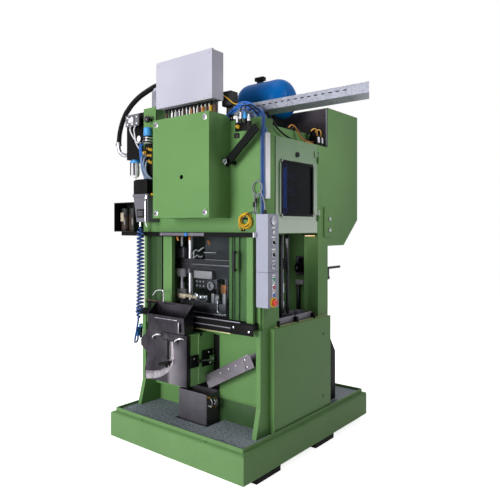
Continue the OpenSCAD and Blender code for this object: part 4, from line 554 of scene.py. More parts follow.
def hose(points, radius, step=12.0, ripple=0.0, sides=12, swell=None, name="hose"):
    """A round hose along a smooth line. With a ripple, every second ring is thinner, as on conduit."""
    line = route(points, step) if step else [Vector(p) for p in points]
    curve = bpy.data.curves.new(name, "CURVE")
    curve.dimensions = "3D"
    curve.bevel_depth = radius / 1000
    curve.bevel_resolution = sides // 2 - 2
    curve.use_fill_caps = True
    spline = curve.splines.new("POLY")
    spline.points.add(len(line) - 1)
    for i, (knot, point) in enumerate(zip(spline.points, line)):
        knot.co = (*metres(point), 1)
        knot.radius = 1 - ripple * (i % 2)
        if swell:
            knot.radius *= swell(i / (len(line) - 1))
    piece = bpy.data.objects.new(name, curve)
    bpy.context.collection.objects.link(piece)
    bpy.ops.object.select_all(action="DESELECT")
    piece.select_set(True)
    bpy.context.view_layer.objects.active = piece
    bpy.ops.object.convert(target="MESH")
    return bpy.context.object


def tint(piece, material):
    piece.data.materials.clear()
    piece.data.materials.append(material)
    return piece


def tint_all(pieces, material):
    return [tint(piece, material) for piece in pieces]


def spin(piece, degrees, axis, about):
    """Turn a piece about an axis through a point."""
    bpy.ops.object.select_all(action="DESELECT")
    piece.select_set(True)
    bpy.context.view_layer.objects.active = piece
    bpy.ops.object.mode_set(mode="EDIT")
    bpy.ops.mesh.select_all(action="SELECT")
    bpy.ops.transform.rotate(value=math.radians(degrees), orient_axis=axis, center_override=metres(about))
    bpy.ops.object.mode_set(mode="OBJECT")
    return piece


def copies(piece, moves):
    """Copies of a piece, each with its own mesh, moved by so many millimetres."""
    made = [piece]
    for move in moves:
        bpy.ops.object.select_all(action="DESELECT")
        piece.select_set(True)
        bpy.context.view_layer.objects.active = piece
        bpy.ops.object.duplicate(linked=False)
        bpy.ops.transform.translate(value=metres(move))
        bpy.ops.object.transform_apply(location=True, rotation=True, scale=True)
        made.append(bpy.context.object)
    return made


def settle(name, pieces, body, stands_for=(), angle=35):
    """Join the pieces, smooth their round faces and fix them to a body of the frame."""
    bpy.ops.object.select_all(action="DESELECT")
    for piece in pieces:
        piece.select_set(True)
    bpy.context.view_layer.objects.active = pieces[0]
    if len(pieces) > 1:
        bpy.ops.object.join()
    whole = bpy.context.object
    whole.name = whole.data.name = name
    bpy.ops.object.transform_apply(location=True, rotation=True, scale=True)
    bpy.ops.object.shade_smooth_by_angle(angle=math.radians(angle))
    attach(whole, body)
    if stands_for:
        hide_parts(*stands_for)
    print(name, len(whole.data.polygons), "faces on", body)
    return whole


def nudge(piece, test, move):
    """Move the vertices that pass the test, given in millimetres."""
    for vertex in piece.data.vertices:
        vertex.select = bool(test(vertex.co * 1000))
    for edge in piece.data.edges:
        edge.select = False
    for face in piece.data.polygons:
        face.select = False
    bpy.ops.object.select_all(action="DESELECT")
    piece.select_set(True)
    bpy.context.view_layer.objects.active = piece
    bpy.ops.object.mode_set(mode="EDIT")
    bpy.ops.mesh.select_mode(type="VERT")
    bpy.ops.transform.translate(value=metres(move))
    bpy.ops.object.mode_set(mode="OBJECT")
    return piece


# %% [markdown]
# ## Hoses and cables
# The spiral air hose is extruded polyurethane wound hot on a rod, so it is one tube along a helix. The big
# cable on the left runs in corrugated conduit, blow-moulded with a ring every few millimetres.

# %% Spiral hose
SPIRAL = [(-508, -612, 1568), (-508, -612, 1450), (-507, -612, 1320), (-506, -612, 1190), (-507, -613, 1060),
          (-512, -616, 950), (-522, -620, 872)]
TAIL = [(-522, -620, 872), (-536, -622, 800), (-562, -616, 730), (-596, -592, 688), (-622, -558, 678),
        (-633, -536, 688), (-634, -531, 704), (-634, -531, 722)]
PITCH, HOSE_R, WIND_R, STEPS = 27.0, 7.0, 22.0, 20
middle = route(SPIRAL, PITCH / STEPS)
winding = []
for i, point in enumerate(middle):
    grow = min(1.0, i / (2 * STEPS), (len(middle) - 1 - i) / (2 * STEPS))
    turn = 2 * math.pi * i / STEPS
    winding.append(point + Vector((math.cos(turn), math.sin(turn), 0)) * WIND_R * grow)
coil = hose(winding + route(TAIL, 8)[1:], HOSE_R, step=0, sides=10)
stub = turned((-508, -612, 1560), "z", [(0, 5), (0, 9), (14, 9), (14, 7), (34, 7)], 20)
settle("spiral_air_hose", [tint(coil, pipe_blue), tint(stub, chrome)], "press", ["coil_hose"])

# %% Conduit, air hoses, loop and coiled cable
CONDUIT = [(-390, -405, 2640), (-470, -410, 2654), (-560, -420, 2646), (-676, -428, 2612), (-750, -430, 2584),
           (-824, -430, 2545), (-880, -430, 2502), (-911, -430, 2474), (-945, -430, 2426), (-967, -430, 2382),
           (-986, -430, 2330), (-994, -430, 2286), (-998, -430, 2236)]
ELBOW = [(-998, -430, 2240), (-999, -428, 2205), (-990, -422, 2172), (-966, -412, 2150), (-930, -400, 2144),
         (-868, -395, 2150)]
conduit = hose(CONDUIT, 21, step=3.6, ripple=0.14, sides=16)
elbow = hose(ELBOW, 17, step=6, sides=20)
ends = [turned((-870, -395, 2150), "-x", [(0, 20), (0, 26), (16, 26), (20, 23), (34, 23), (34, 16)], 24),
        turned((-998, -430, 2226), "z", [(0, 20), (0, 28), (8, 28), (10, 25), (26, 25), (28, 22)], 24),
        turned((-400, -405, 2640), "-x", [(0, 20), (0, 27), (14, 27), (18, 23), (30, 23), (30, 16)], 24)]
settle("corrugated_conduit", [tint(conduit, black_plastic), tint(elbow, steel)] + tint_all(ends, steel),
       "press", ["cable_runs"])

AIR = [(557, -514, 1636), (557, -514, 1880), (557, -514, 2130), (560, -508, 2200), (556, -502, 2264),
       (535, -496, 2298), (500, -490, 2318), (450, -488, 2322), (405, -488, 2308), (374, -488, 2285),
       (366, -488, 2270), (366, -488, 2255)]
air = hose(AIR, 7.0, step=14)
second = copies(air, [(0, -14.6, 0)])[1]
settle("air_hoses", [tint(air, hose_blue), tint(second, pipe_blue)], "press")

ring = [(531 + 40 * math.cos(math.radians(a)), -541 + a / 110, 1803 + 42 * math.sin(math.radians(a)))
        for a in range(-40, 581, 20)]
loop = hose([(590, -536, 1636), (592, -540, 1680), (582, -541, 1730)] + ring
            + [(497, -535, 1768), (508, -535, 1714), (503, -535, 1662), (502, -530, 1642), (502, -520, 1638)],
            3.8, step=6)
strand = hose([(560, -520, 1745), (545, -532, 1752), (531, -543, 1758), (523, -545, 1704), (525, -543, 1652),
               (524, -532, 1632), (524, -520, 1628)], 3.8, step=6)
sleeves = [turned((x, -541, z), "z", [(-16, 5), (-16, 8), (16, 8), (16, 5)], 16)
           for x, z in ((507, 1696), (524, 1724))]
nut = turned((590, -536, 1636), "z", [(0, 8), (0, 12), (12, 12), (14, 9), (26, 9), (26, 6)], 16)
settle("pendant_loop", tint_all((loop, strand), grey_cable) + tint_all(sleeves + [nut], black_plastic),
       "press")

# The spare length of yellow cable hangs in loose laps on a peg. Both its ends go into glands above the rail.
# The laps differ in size and drift a little, so that they don't lie on each other.
LAP_X, LAP_Z, LAP_R = 431, 1597, 41
FIRST, LAST = -100, 1620
wound = []
for a in range(FIRST, LAST + 1, 12):
    turn = math.radians(a)
    reach = LAP_R + 8 * math.sin(turn * 0.43)
    wound.append((LAP_X + 6 * math.sin(turn * 0.31) + reach * math.cos(turn), -526 - (a - FIRST) / 80,
                  LAP_Z + 7 * math.cos(turn * 0.47) + reach * math.sin(turn) * 0.95))
coiled = hose([(412, -516, 1536), (412, -530, 1538), (415, -528, 1552)] + wound
              + [(387, -545, 1566), (391, -538, 1546), (396, -528, 1537), (396, -516, 1535)],
              4.2, step=5, sides=10)
glands = [turned((x, -520, z), "-y", [(0, 3), (0, 7.4), (9, 7.4), (11, 5)], 16)
          for x, z in ((412, 1536), (396, 1535))]
peg = turned((431, -520, 1608), "-y", [(0, 3), (0, 6), (34, 6), (34, 10), (38, 10), (38, 3)], 16)
strap = hose([(431, -552, 1609), (446, -550, 1630), (470, -545, 1643), (490, -538, 1650), (502, -533, 1652)],
             2.6, step=5)
settle("coiled_cable", [tint(coiled, yellow)] + tint_all(glands + [peg, strap], black_plastic),
       "press")

# %% [markdown]
# ## Air and lubrication cluster
# The left front corner carries bought-in parts: a lubrication pump with a black motor on a grey body and a
# small display, a filter with a milky bowl, a blue regulator with its gauge, and valves with their tubes.

# %% Lubrication pump
body = slab((-560, -636, 1592), (-400, -520, 1780), 5)
nudge(body, lambda v: v.x < -550 and v.z < 1600, (34, 0, 0))
flange = slab((-566, -640, 1778), (-396, -520, 1798), 3)
motor_case = slab((-556, -640, 1797), (-404, -522, 1900), 6)
lid = slab((-548, -632, 1898), (-412, -530, 1907), 3)
frame_rim = slab((-516, -641, 1624), (-420, -634, 1686), 2)
screen = slab((-508, -643, 1632), (-428, -640, 1678), 1)
lines = [slab((-500, -644, z), (-446, -642.5, z + 5), 0.5) for z in (1642, 1654, 1666)]
pipe = hose([(-416, -638, 1772), (-414, -644, 1740), (-412, -646, 1660), (-412, -644, 1592),
             (-410, -634, 1560)], 6)
fittings = [turned((-416, -636, 1760), "z", [(0, 6), (0, 10), (16, 10), (18, 7), (26, 7)], 6),
            turned((-398, -600, 1794), "x", [(0, 5), (0, 9), (12, 9), (14, 6), (22, 6)], 6)]
bolts = [turned((x, -640, 1788), "-y", [(0, 4), (0, 6), (4, 6), (5, 3)], 6) for x in (-556, -406)]
settle("lubrication_pump", tint_all((body, flange), pump_grey)
       + tint_all((motor_case, lid, frame_rim), black_paint) + [tint(screen, display)]
       + tint_all(lines, pump_grey)
       + [tint(pipe, chrome), tint(fittings[0], chrome), tint(fittings[1], yellow)] + tint_all(bolts, steel),
       "press", ["lube_pump"])

# %% [markdown]
# Bowl, neck and gauge are turned bodies, so each grows from a disc. Ticks and needle are small parts on the
# dial, because no image is used.

# %% Filter, regulator and gauge
FILTER = (-824, -400)
bowl = turned((*FILTER, 2078), "-z",
              [(0, 20), (0, 31), (14, 34), (96, 34), (118, 26), (126, 12), (130, 8), (133, 8)], 28)
cap = turned((*FILTER, 2072), "z", [(0, 30), (0, 42), (4, 44), (14, 44), (16, 36), (23, 36)], 28)
guard_bars = [slab((FILTER[0] + x - 4, -437, 1972), (FILTER[0] + x + 4, -432, 2074), 1.5) for x in (-20, 20)]
filter_body = [tint(bowl, milky), tint(cap, pale_blue)] + tint_all(guard_bars, black_plastic)
block = slab((-530, -580, 2185), (-470, -520, 2236), 4)
bands = [slab((-534, -584, z), (-466, -524, z + 9), 2) for z in (2186, 2206, 2226)]
neck = turned((-500, -550, 2236), "z", [(0, 18), (0, 26), (6, 28), (9, 28), (9, 20)], 28)
stem = turned((-518, -580, 2210), "-y", [(0, 5), (0, 7), (20, 7)], 12)
rim = turned((-518, -600, 2210), "-y",
             [(0, 20), (0, 25), (4, 27), (20, 27), (22, 25), (22, 23), (18, 23)], 36)
dial = turned((-518, -617, 2210), "-y", [(0, 20), (0, 22.8), (1.5, 22.8)], 36)
ticks = [turned((-518 + 18 * math.sin(a), -618.6, 2210 + 18 * math.cos(a)), "-y",
                [(0, 1), (0, 1.6), (0.6, 1.6)], 8) for a in [math.radians(d) for d in range(-135, 136, 45)]]
needle = slab((-519.2, -620, 2206), (-516.8, -619, 2226), 0.3)
spin(needle, 40, "Y", (-518, -619.5, 2210))
settle("air_filter_regulator", filter_body + [tint(block, white_plastic)] + tint_all(bands, black_plastic)
       + [tint(neck, black_plastic), tint(stem, chrome), tint(rim, black_plastic), tint(dial, white_plastic)]
       + tint_all(ticks, black_plastic) + [tint(needle, caps["estop_button"])],
       "press", ["air_service_unit"])

# %% [markdown]
# The regulator's cap is a moulded knob whose grip ribs are set by a loop. The shut-off is a ball on a stem,
# smoothed over a wide angle. Both take a size from the solid that they stand for.

# %% Regulator knob and shut-off knob
low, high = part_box("regulator_knob")
foot = low[2] * 1000
tall = high[2] * 1000 - foot
KNOB_X, KNOB_Y, RIBS, RIB_REACH = -500, -550, 18, 28.4
grip = turned((KNOB_X, KNOB_Y, foot), "z", [(0, 20), (0, 27), (4, 29), (tall - 6, 29), (tall, 24)], 36)
ribs = []
for i in range(RIBS):
    turn = 2 * math.pi * i / RIBS
    place = (KNOB_X + RIB_REACH * math.cos(turn), KNOB_Y + RIB_REACH * math.sin(turn), foot + 6)
    ribs.append(turned(place, "z", [(0, 1.5), (0, 2.2), (30, 2.2), (30, 1.2)], 8))
settle("regulator_cap", tint_all([grip] + ribs, pale_blue), "regulator", ["regulator_knob"])
low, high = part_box("shutoff_knob")
back = high[1] * 1000
deep = back - low[1] * 1000
ball = turned((-488, back, 2360), "-y",
              [(0, 9), (deep - 46, 9), (deep - 44, 16), (deep - 36, 24), (deep - 24, 28), (deep - 12, 25),
               (deep - 4, 15), (deep, 5)], 32)
settle("shutoff_ball", [tint(ball, black_gloss)], "shutoff", ["shutoff_knob"], angle=80)

# %% [markdown]
# Two smoked bottles with black caps stand in the open box. They are turned like blown bottles, and one has
# a blank label.

# %% Reservoir bottles
bottles = []
for x in (-778, -682):
    bottles.append(turned((x, -525, 1527), "z",
                          [(0, 30), (0, 39.5), (4, 41.5), (120, 41.5), (140, 31), (148, 17), (160, 17)], 28))
    bottles.append(turned((x, -525, 1685), "z", [(0, 14), (0, 19), (16, 19), (18, 16)], 20))
label = slab((-798, -568.5, 1600), (-762, -565.5, 1668), 1)
settle("oil_bottles", [tint(p, smoked if i % 2 == 0 else black_plastic) for i, p in enumerate(bottles)]
       + [tint(label, beige)], "press")

# %% [markdown]
# Solenoid valves are moulded boxes in a row. Tubes hang in free bends from fitting to fitting, so each is a
# smooth line through a few points.

# %% Solenoids, tubes and fittings beside the regulator
cases = [slab((x, -508, 2346), (x + 50, -491.5, 2434), 3) for x in (-816, -762, -708)]
screws = [turned((x + 25, -508, z), "-y", [(0, 5), (0, 9), (4, 9), (6, 5)], 20)
          for x in (-816, -762, -708) for z in (2364, 2414)]
plug = slab((-770, -516, 2372), (-712, -508, 2410), 3)
white_tubes = [hose([(-758, -500, 2350), (-752, -512, 2318), (-727, -514, 2276), (-690, -516, 2236),
                     (-640, -536, 2206), (-570, -556, 2198), (-534, -556, 2198)], 6, step=8),
               hose([(-700, -500, 2350), (-704, -512, 2314), (-694, -514, 2272), (-676, -518, 2216),
                     (-640, -530, 2178), (-606, -536, 2150), (-586, -530, 2124), (-580, -521, 2110)],
                    6, step=8)]
backing = slab((-566, -527, 1908), (-470, -520.3, 2186), 3)
blue_tubes = [hose([(-610, -480, 2200), (-606, -532, 2178), (-590, -544, 2120), (-578, -545, 2044),
                    (-556, -545, 1964), (-530, -544, 1918), (-508, -538, 1904)], 8, step=8),
              hose([(-590, -490, 2196), (-588, -536, 2172), (-566, -552, 2110), (-556, -552, 2030),
                    (-540, -550, 1960), (-512, -544, 1914), (-500, -538, 1904)], 6, step=8)]
grey_tubes = [hose([(x, -527, 2100 - d), (x - 4, -552, 2080 - d), (x - 10, -556, 2030 - d),
                    (x + 8, -556, 1968 - d / 2), (x + 34, -550, 1924), (x + 50, -536, 1906)], 8, step=8)
              for x, d in ((-556, 0), (-530, 10), (-506, 40))]
knuckles = [turned((x, -527, z), "-y", [(0, 8), (0, 12), (12, 12), (14, 8), (24, 8), (26, 5)], 6)
            for x, z in ((-546, 2120), (-512, 2146), (-480, 2136), (-520, 2096), (-484, 2092), (-506, 2052),
                         (-480, 2040))]
settle("valve_tubing", tint_all(cases, solenoid_grey) + tint_all(screws, chrome) + [tint(plug, milky)]
       + tint_all(white_tubes, milky) + [tint(backing, black_paint)] + tint_all(blue_tubes, hose_blue)
       + tint_all(grey_tubes, steel_blue)
       + [tint(p, bronze if i % 2 else yellow) for i, p in enumerate(knuckles)], "press")

# %% [markdown]
# ## Top of the head
# Behind the head stands the flywheel guard, whose inner face is a dark unpainted sheet. In front of it sit
# the double clutch valve with bronze elbows, a junction block, and a bundle of blue air hoses that dives
# into the duct.

# %% Inner guard sheet
sheet = [slab((-426, 295, 2258), (548, 299.7, 2446), 1.5), slab((434, 295, 2158), (548, 299.7, 2260), 1.5)]
edge_strip = slab((536, 289, 2162), (547, 295, 2440), 1.5)
rivets = [turned((541, 289, z), "-y", [(0, 2), (0, 4), (2, 3.4), (3, 1)], 12)
          for z in (2190, 2270, 2350, 2420)]
settle("inner_guard_sheet", tint_all(sheet, dark_sheet) + [tint(edge_strip, zinc)]
       + tint_all(rivets, steel), "press")

# %% [markdown]
# The valve has two halves, each with its own coil and elbow. Loops make both halves from one set of sizes.

# %% Double clutch valve
base = slab((450, 176, 2155.5), (530, 290, 2176), 3)
halves = [slab((454, y, 2174), (526, y + 48, 2232), 4) for y in (182, 236)]
coils = []
for y in (206, 260):
    coils.append(turned((478, y, 2230), "z", [(0, 14), (0, 20), (30, 20), (32, 16), (48, 16), (50, 12)], 24))
    coils.append(turned((512, y, 2230), "z", [(0, 6), (0, 10), (10, 10), (12, 7), (22, 7)], 6))
elbows = [hose([(512, y, 2248), (512, y, 2268), (506, y - 12, 2282), (496, y - 30, 2278),
                (488, y - 44, 2262)], 6, step=6) for y in (206, 260)]
clips = [slab((526, y, 2180), (532, y + 30, 2222), 2) for y in (190, 246)]
settle("double_clutch_valve", tint_all([base] + halves, black_paint)
       + [tint(p, black_paint if i % 2 == 0 else bronze) for i, p in enumerate(coils)]
       + tint_all(elbows, bronze) + tint_all(clips, chrome), "press", ["clutch_valve"])

# %% [markdown]
# Hoses in a bundle never lie quite parallel. One line is drawn, and each hose strays from it, most of all in
# the middle.

# %% Junction block, hose bundle and loose cables
junction = slab((112, -404, 2396), (196, -326, 2500), 5)
cover = slab((118, -410, 2404), (190, -403, 2492), 3)
drops = [hose([(130 + 16 * i, -365, 2400), (128 + 17 * i, -366, 2340), (120 + 20 * i, -368, 2296),
               (118 + 20 * i, -370, 2250)], 6, step=10) for i in range(4)]
settle("junction_block", tint_all([junction, cover] + drops, black_plastic), "press")

BUNDLE = [(196, -455, 2262), (206, -458, 2296), (263, -464, 2328), (316, -470, 2352), (376, -472, 2350),
          (434, -474, 2324), (476, -476, 2282), (516, -478, 2226), (538, -480, 2180), (544, -480, 2158)]
SPREAD = [(0, 0, 0), (2, -12, 4), (-6, -22, -9), (8, 11, 7), (-3, -9, -16), (5, 3, 16)]
bundle = []
for dx, dy, dz in SPREAD:
    path = []
    for i, (x, y, z) in enumerate(BUNDLE):
        hold = min(1.0, i / 3, (len(BUNDLE) - 1 - i) / 3)
        path.append((x + dx * (1 + hold), y + dy * (0.6 + 0.6 * hold), z + dz * hold * 1.6))
    bundle.append(hose(path, 6.0, step=14, sides=10))
cuff = turned((246, -464, 2318), (0.8, 0, 0.6), [(-8, 20), (-8, 26), (8, 26), (8, 20)], 20)
settle("blue_hose_bundle", [tint(p, hose_blue if i % 3 else bright_blue) for i, p in enumerate(bundle)]
       + [tint(cuff, black_plastic)], "press")

earth = hose([(126, -412, 2478), (180, -414, 2440), (236, -412, 2398), (300, -404, 2392)], 4, step=12)
orange_loop = hose([(440, -60, 2262), (446, -30, 2286), (452, 8, 2276), (456, 30, 2246), (470, 52, 2206),
                    (490, 80, 2180), (500, 130, 2172), (500, 176, 2168)], 5, step=10)
brown_loop = hose([(440, -20, 2262), (450, 10, 2276), (462, 44, 2250), (478, 76, 2204), (492, 120, 2184),
                   (500, 178, 2184)], 4, step=10)
black_loop = hose([(396, -376, 2255), (410, -360, 2330), (440, -310, 2320), (452, -200, 2230),
                   (462, -60, 2180), (480, 60, 2166), (492, 150, 2164)], 7, step=14)
settle("loose_cables", [tint(earth, yellow), tint(orange_loop, orange), tint(brown_loop, brown),
                        tint(black_loop, black_plastic)], "press")

# %% [markdown]
# Round plugs with a nut, a body and a grip are turned on a slanted axis. Their leads bend back to the head.

# %% Strut connectors
plugs = []
for x, z, tip in ((424, 2250, chrome), (452, 2270, chrome), (486, 2268, pale_blue), (516, 2250, chrome)):
    plug = turned((x, -606, z - 34), (0.3, -0.4, 1),
                  [(0, 8), (0, 12), (18, 12), (20, 10), (30, 10), (32, 7), (44, 6)], 12)
    plugs.append(tint(plug, tip))
    plugs.append(tint(turned((x, -606, z - 62), (0.2, -0.2, 1), [(0, 7), (0, 11), (26, 11), (28, 8)], 16),
                      black_plastic))
brace = slab((404, -604, 2160), (530, -596, 2216), 3)
yellow_plug = turned((440, -610, 2186), "-y", [(0, 8), (0, 12), (14, 12), (16, 8), (26, 7)], 6)
clamp = slab((400, -612, 2118), (436, -596, 2150), 3)
stud_end = turned((332, -616, 1977), "-y", [(0, 12), (0, 21), (10, 21), (12, 18), (12, 12), (6, 12)], 6)
leads = [hose([(x, -610, z), (x + 4, -612, z + 24), (x + 22, -590, z + 40), (x + 40, -550, z + 26),
               (x + 44, -500, z)], 4.5, step=10) for x, z in ((428, 2262), (456, 2282), (490, 2280))]
settle("strut_connectors", plugs
       + [tint(brace, black_paint), tint(yellow_plug, yellow), tint(clamp, black_plastic),
          tint(stud_end, chrome)]
       + [tint(p, black_plastic if i else grey_cable) for i, p in enumerate(leads)], "press")

# %% [markdown]
# A folded zinc-plated angle carries the conduit: two thin slabs that meet at the fold.

# %% Conduit bracket beside the terminal box
bracket = slab((-566, -452, 2456), (-512, -446, 2600), 2)
web = slab((-518, -452, 2456), (-512, -424, 2600), 2)
settle("conduit_bracket", [tint(bracket, zinc), tint(web, zinc)], "press")

# %% [markdown]
# Marking sleeves slide over some cables, at the spacing of the glands. The cables in the tray lie in two
# layers and end in boxes, so no end is left open.

# %% Coloured sleeves on the gland cables and cables in the tray
GLAND_PITCH = 486 / 13
sleeves = []
for i, jacket in ((0, brown), (3, grey_cable), (5, brown), (7, copper), (9, brown), (10, orange), (11, brown),
                  (12, yellow), (13, brown)):
    sleeves.append(tint(turned((-368 + GLAND_PITCH * i, -480, 2300), "z",
                               [(0, 9), (0, 13), (96, 13), (98, 10)], 16), jacket))
settle("cable_sleeves", sleeves, "press")
lay = [hose([(214, y, 2346), (500, y + 6, 2345), (800, y - 5, 2345), (1120, y, 2345)], 13, step=40)
       for y in (-358, -330, -302, -272)]
lay += [hose([(214, y, 2370), (500, y - 5, 2368), (860, y + 5, 2368), (1110, y, 2368)], 12, step=40)
        for y in (-352, -322)]
end_boxes = [slab((1094, -374, 2332), (1150, -258, 2384), 4), slab((206, -374, 2332), (236, -258, 2386), 4)]
settle("tray_cables", tint_all(lay + end_boxes, black_plastic), "press")

# %% [markdown]
# ## Hopper, clamp and chute
# The hopper front is pressed from stainless sheet. A painted highlight lies on the rolled edge of its dish,
# two bent levers hold the funnel, and a black cross handle hangs in the slot. A toggle clamp locks the
# housing.

# %% Painted highlight on the rolled edge of the dish
DISH = [(-80, -698, 778), (-76, -698, 720), (-76, -698, 672), (-90, -698, 622), (-126, -698, 582),
        (-180, -698, 550), (-249, -698, 527), (-340, -698, 512)]
band = hose(DISH, 30, step=8, sides=14, swell=lambda t: 0.35 + 0.65 * t)
bpy.ops.object.mode_set(mode="EDIT")
bpy.ops.mesh.select_all(action="SELECT")
bpy.ops.transform.resize(value=(1, 0.22, 1), center_override=(0, -0.698, 0))
bpy.ops.object.mode_set(mode="OBJECT")
lip = slab((-252, -700.5, 922), (-28, -697, 929), 1)
settle("dish_edge_painted_highlight", [tint(band, polish_and_highlight), tint(lip, polish_and_highlight)], "press")

# %% [markdown]
# The levers are bent from round bar on welded feet. Joints and folds in the sheet are thin raised strips,
# because only their bright or dark line shows.

# %% Levers, slot trim and cross handle
levers = []
for x, z in ((-254, 790), (-34, 787)):
    arm = hose([(x, -700, z - 6), (x + 4, -716, z), (x + 22, -722, z + 14), (x + 52, -722, z + 26),
                (x + 66, -712, z + 26), (x + 70, -700, z + 22)], 7, step=5)
    foot = slab((x - 12, -704, z - 22), (x + 14, -697.5, z + 6), 2)
    levers += [tint(arm, chrome), tint(foot, stainless)]
joint = slab((-176, -700, 782), (-48, -697.5, 787), 0.8)
slot_trim = slab((-124, -701.5, 652), (-103, -697.2, 780), 2)
trim = [slab((-8, -700.5, 848), (3, -697.5, 906), 1), slab((-16, -703, 842), (-8, -697.5, 914), 1.5)]
handle_bar = hose([(-182, -716, 612), (-150, -720, 622), (-112, -722, 630), (-84, -716, 642)], 12, step=8)
handle_stem = turned((-113, -690, 626), "-y", [(0, 12), (20, 12), (24, 18), (36, 18), (38, 14)], 20)
handle_foot = hose([(-112, -718, 626), (-108, -718, 610), (-106, -716, 602)], 8, step=5)
settle("hopper_levers", levers
       + [tint(joint, black_paint), tint(slot_trim, black_paint), tint(trim[0], black_paint),
          tint(trim[1], polish_and_highlight)]
       + tint_all((handle_bar, handle_stem, handle_foot), black_paint), "press")

# %% [markdown]
# A black ledge with a green front edge carries a rod and a bent wire. Both are round bar, so they are made
# like hoses.

# %% Feed ledge and bent wire above the funnel
ledge = slab((-455, -606, 1003), (30, -580, 1013), 2)
ledge_edge = slab((-253, -611, 1011), (-126, -603, 1018), 1.5)
rod = hose([(-462, -600, 1020), (-380, -600, 1021), (-262, -602, 1020)], 5, step=20)
wire = hose([(-380, -602, 1060), (-352, -604, 1088), (-327, -606, 1100), (-276, -607, 1105),
             (-265, -607, 1096), (-264, -606, 1060), (-264, -604, 1012)], 4.5, step=5)
holder = slab((-455, -582, 946), (-430, -576, 1010), 2)
settle("feed_ledge", [tint(ledge, black_paint), tint(ledge_edge, green), tint(rod, brown), tint(wire, chrome),
                      tint(holder, black_paint)], "press")

# %% [markdown]
# The base is bolted on and stays still, and the lever turns. So they are two pieces on two bodies.

# %% Toggle clamp
plates = [slab((62.4, -667, 612), (74, -590, 694), 4), slab((62.4, -556, 602), (74, -452, 712), 4)]
bosses = [turned((62.4, y, z), "x", [(0, 9), (0, 13), (13, 13)], 20)
          for y, z in ((-624, 654), (-499, 693), (-484, 621))]
heads = [turned((75.2, y, z), "x", [(0, 6), (0, 8), (4, 8), (6, 5)], 6)
         for y, z in ((-640, 672), (-499, 694), (-486, 618))]
settle("clamp_base", tint_all(plates + bosses, black_paint) + tint_all(heads, chrome),
       "press")
hub = turned((76, -460, 640), "x", [(0, 12), (0, 18), (10, 18), (12, 15), (12, 9), (14, 9), (16, 6)], 28)
arm = hose([(82, -468, 640), (82, -520, 643), (82, -566, 648), (82, -588, 650)], 6.5, step=8)
grip = turned((82, -580, 649.5), (0, -1, 0.03), [(0, 7), (2, 10), (22, 11), (28, 9), (31, 5)], 20)
settle("clamp_lever", [tint(hub, chrome), tint(arm, steel), tint(grip, black_plastic)], "latch_lever",
       ["latch"])
# A paler green strip along the housing's edge is a painted highlight.
edge_strip = slab((62.2, -589, 506), (67, -582, 826), 1.5)
rib_screw = turned((62.2, -564, 824), "x", [(0, 8), (0, 11), (6, 11), (8, 8)], 20)
settle("housing_knob", [tint(rib_screw, black_plastic), tint(edge_strip, highlight_green)], "press")

# %% [markdown]
# Strips and bolts are drawn level and then turned to the slope together, so that the bolts stay square to
# the sheet.

# %% Chute flange and drain fittings beside the bin
SLOPE = 28
flange = slab((467, -518.5, 449), (474, -514.5, 539), 1)
rim_strip = slab((105, -519, 533), (535, -514, 541), 1.2)
bolts = [turned((95 + s, -515, 450 + t), "-y", [(0, 4), (0, 6), (3, 6), (4.5, 3)], 12)
         for s, t in ((392, 20), (392, 68), (150, 60), (230, 60), (300, 60))]
for piece in [flange, rim_strip] + bolts:
    spin(piece, SLOPE, "Y", (95, -515, 450))
settle("chute_flange", tint_all([flange, rim_strip], chute_steel) + tint_all(bolts, steel),
       "press")
valves = []
for y, z, length in ((-548, 400, 20), (-520, 392, 26), (-490, 384, 18), (-540, 340, 24), (-505, 330, 28),
                     (-480, 340, 16)):
    valves.append(turned((115.3, y, z), "x",
                         [(0, 7), (0, 10), (6, 10), (8, 7), (length, 7), (length, 10), (length + 6, 10)], 6))
links = [hose([(136, -548, 400), (150, -545, 380), (150, -542, 356), (138, -540, 340)], 4, step=6),
         hose([(138, -520, 392), (156, -516, 372), (156, -508, 348), (140, -505, 330)], 4, step=6),
         hose([(132, -490, 384), (142, -486, 366), (142, -482, 352), (130, -480, 340)], 3.5, step=6)]
settle("drain_fittings", [tint(p, chrome if i % 2 else bronze) for i, p in enumerate(valves)]
       + tint_all(links, steel), "press")

# %% [markdown]
# The panel behind the housing lies in shadow, and a black sheet there is painted shade. Its lower edge is
# folded, and a dark green skirt below the fold is painted shade too. Thin sheets stand just in front of the
# solid, so that no faces share a plane.

# %% Painted shade behind the housing, the folded lip of the lower panel and painted shade below it
shadow_sheet = slab((-230, -433, 404), (116, -430.2, 806), 0.8)
fold = slab((118, -437, 374), (452, -430.2, 381), 1.5)
shade_skirt = slab((118, -431.6, 210), (448, -430.2, 373), 0.5)
settle("panel_fold_painted_shade", [tint(shadow_sheet, black_paint), tint(fold, green), tint(shade_skirt, shaded_green)],
       "press")

# %% [markdown]
# ## Feed opening on the right
# The opening shows a dark inside: two trays on a sill with a brass edge strip, black clamps on the sill,
# guide bars, a small feed mechanism with a lever, and a warm work lamp under the head.

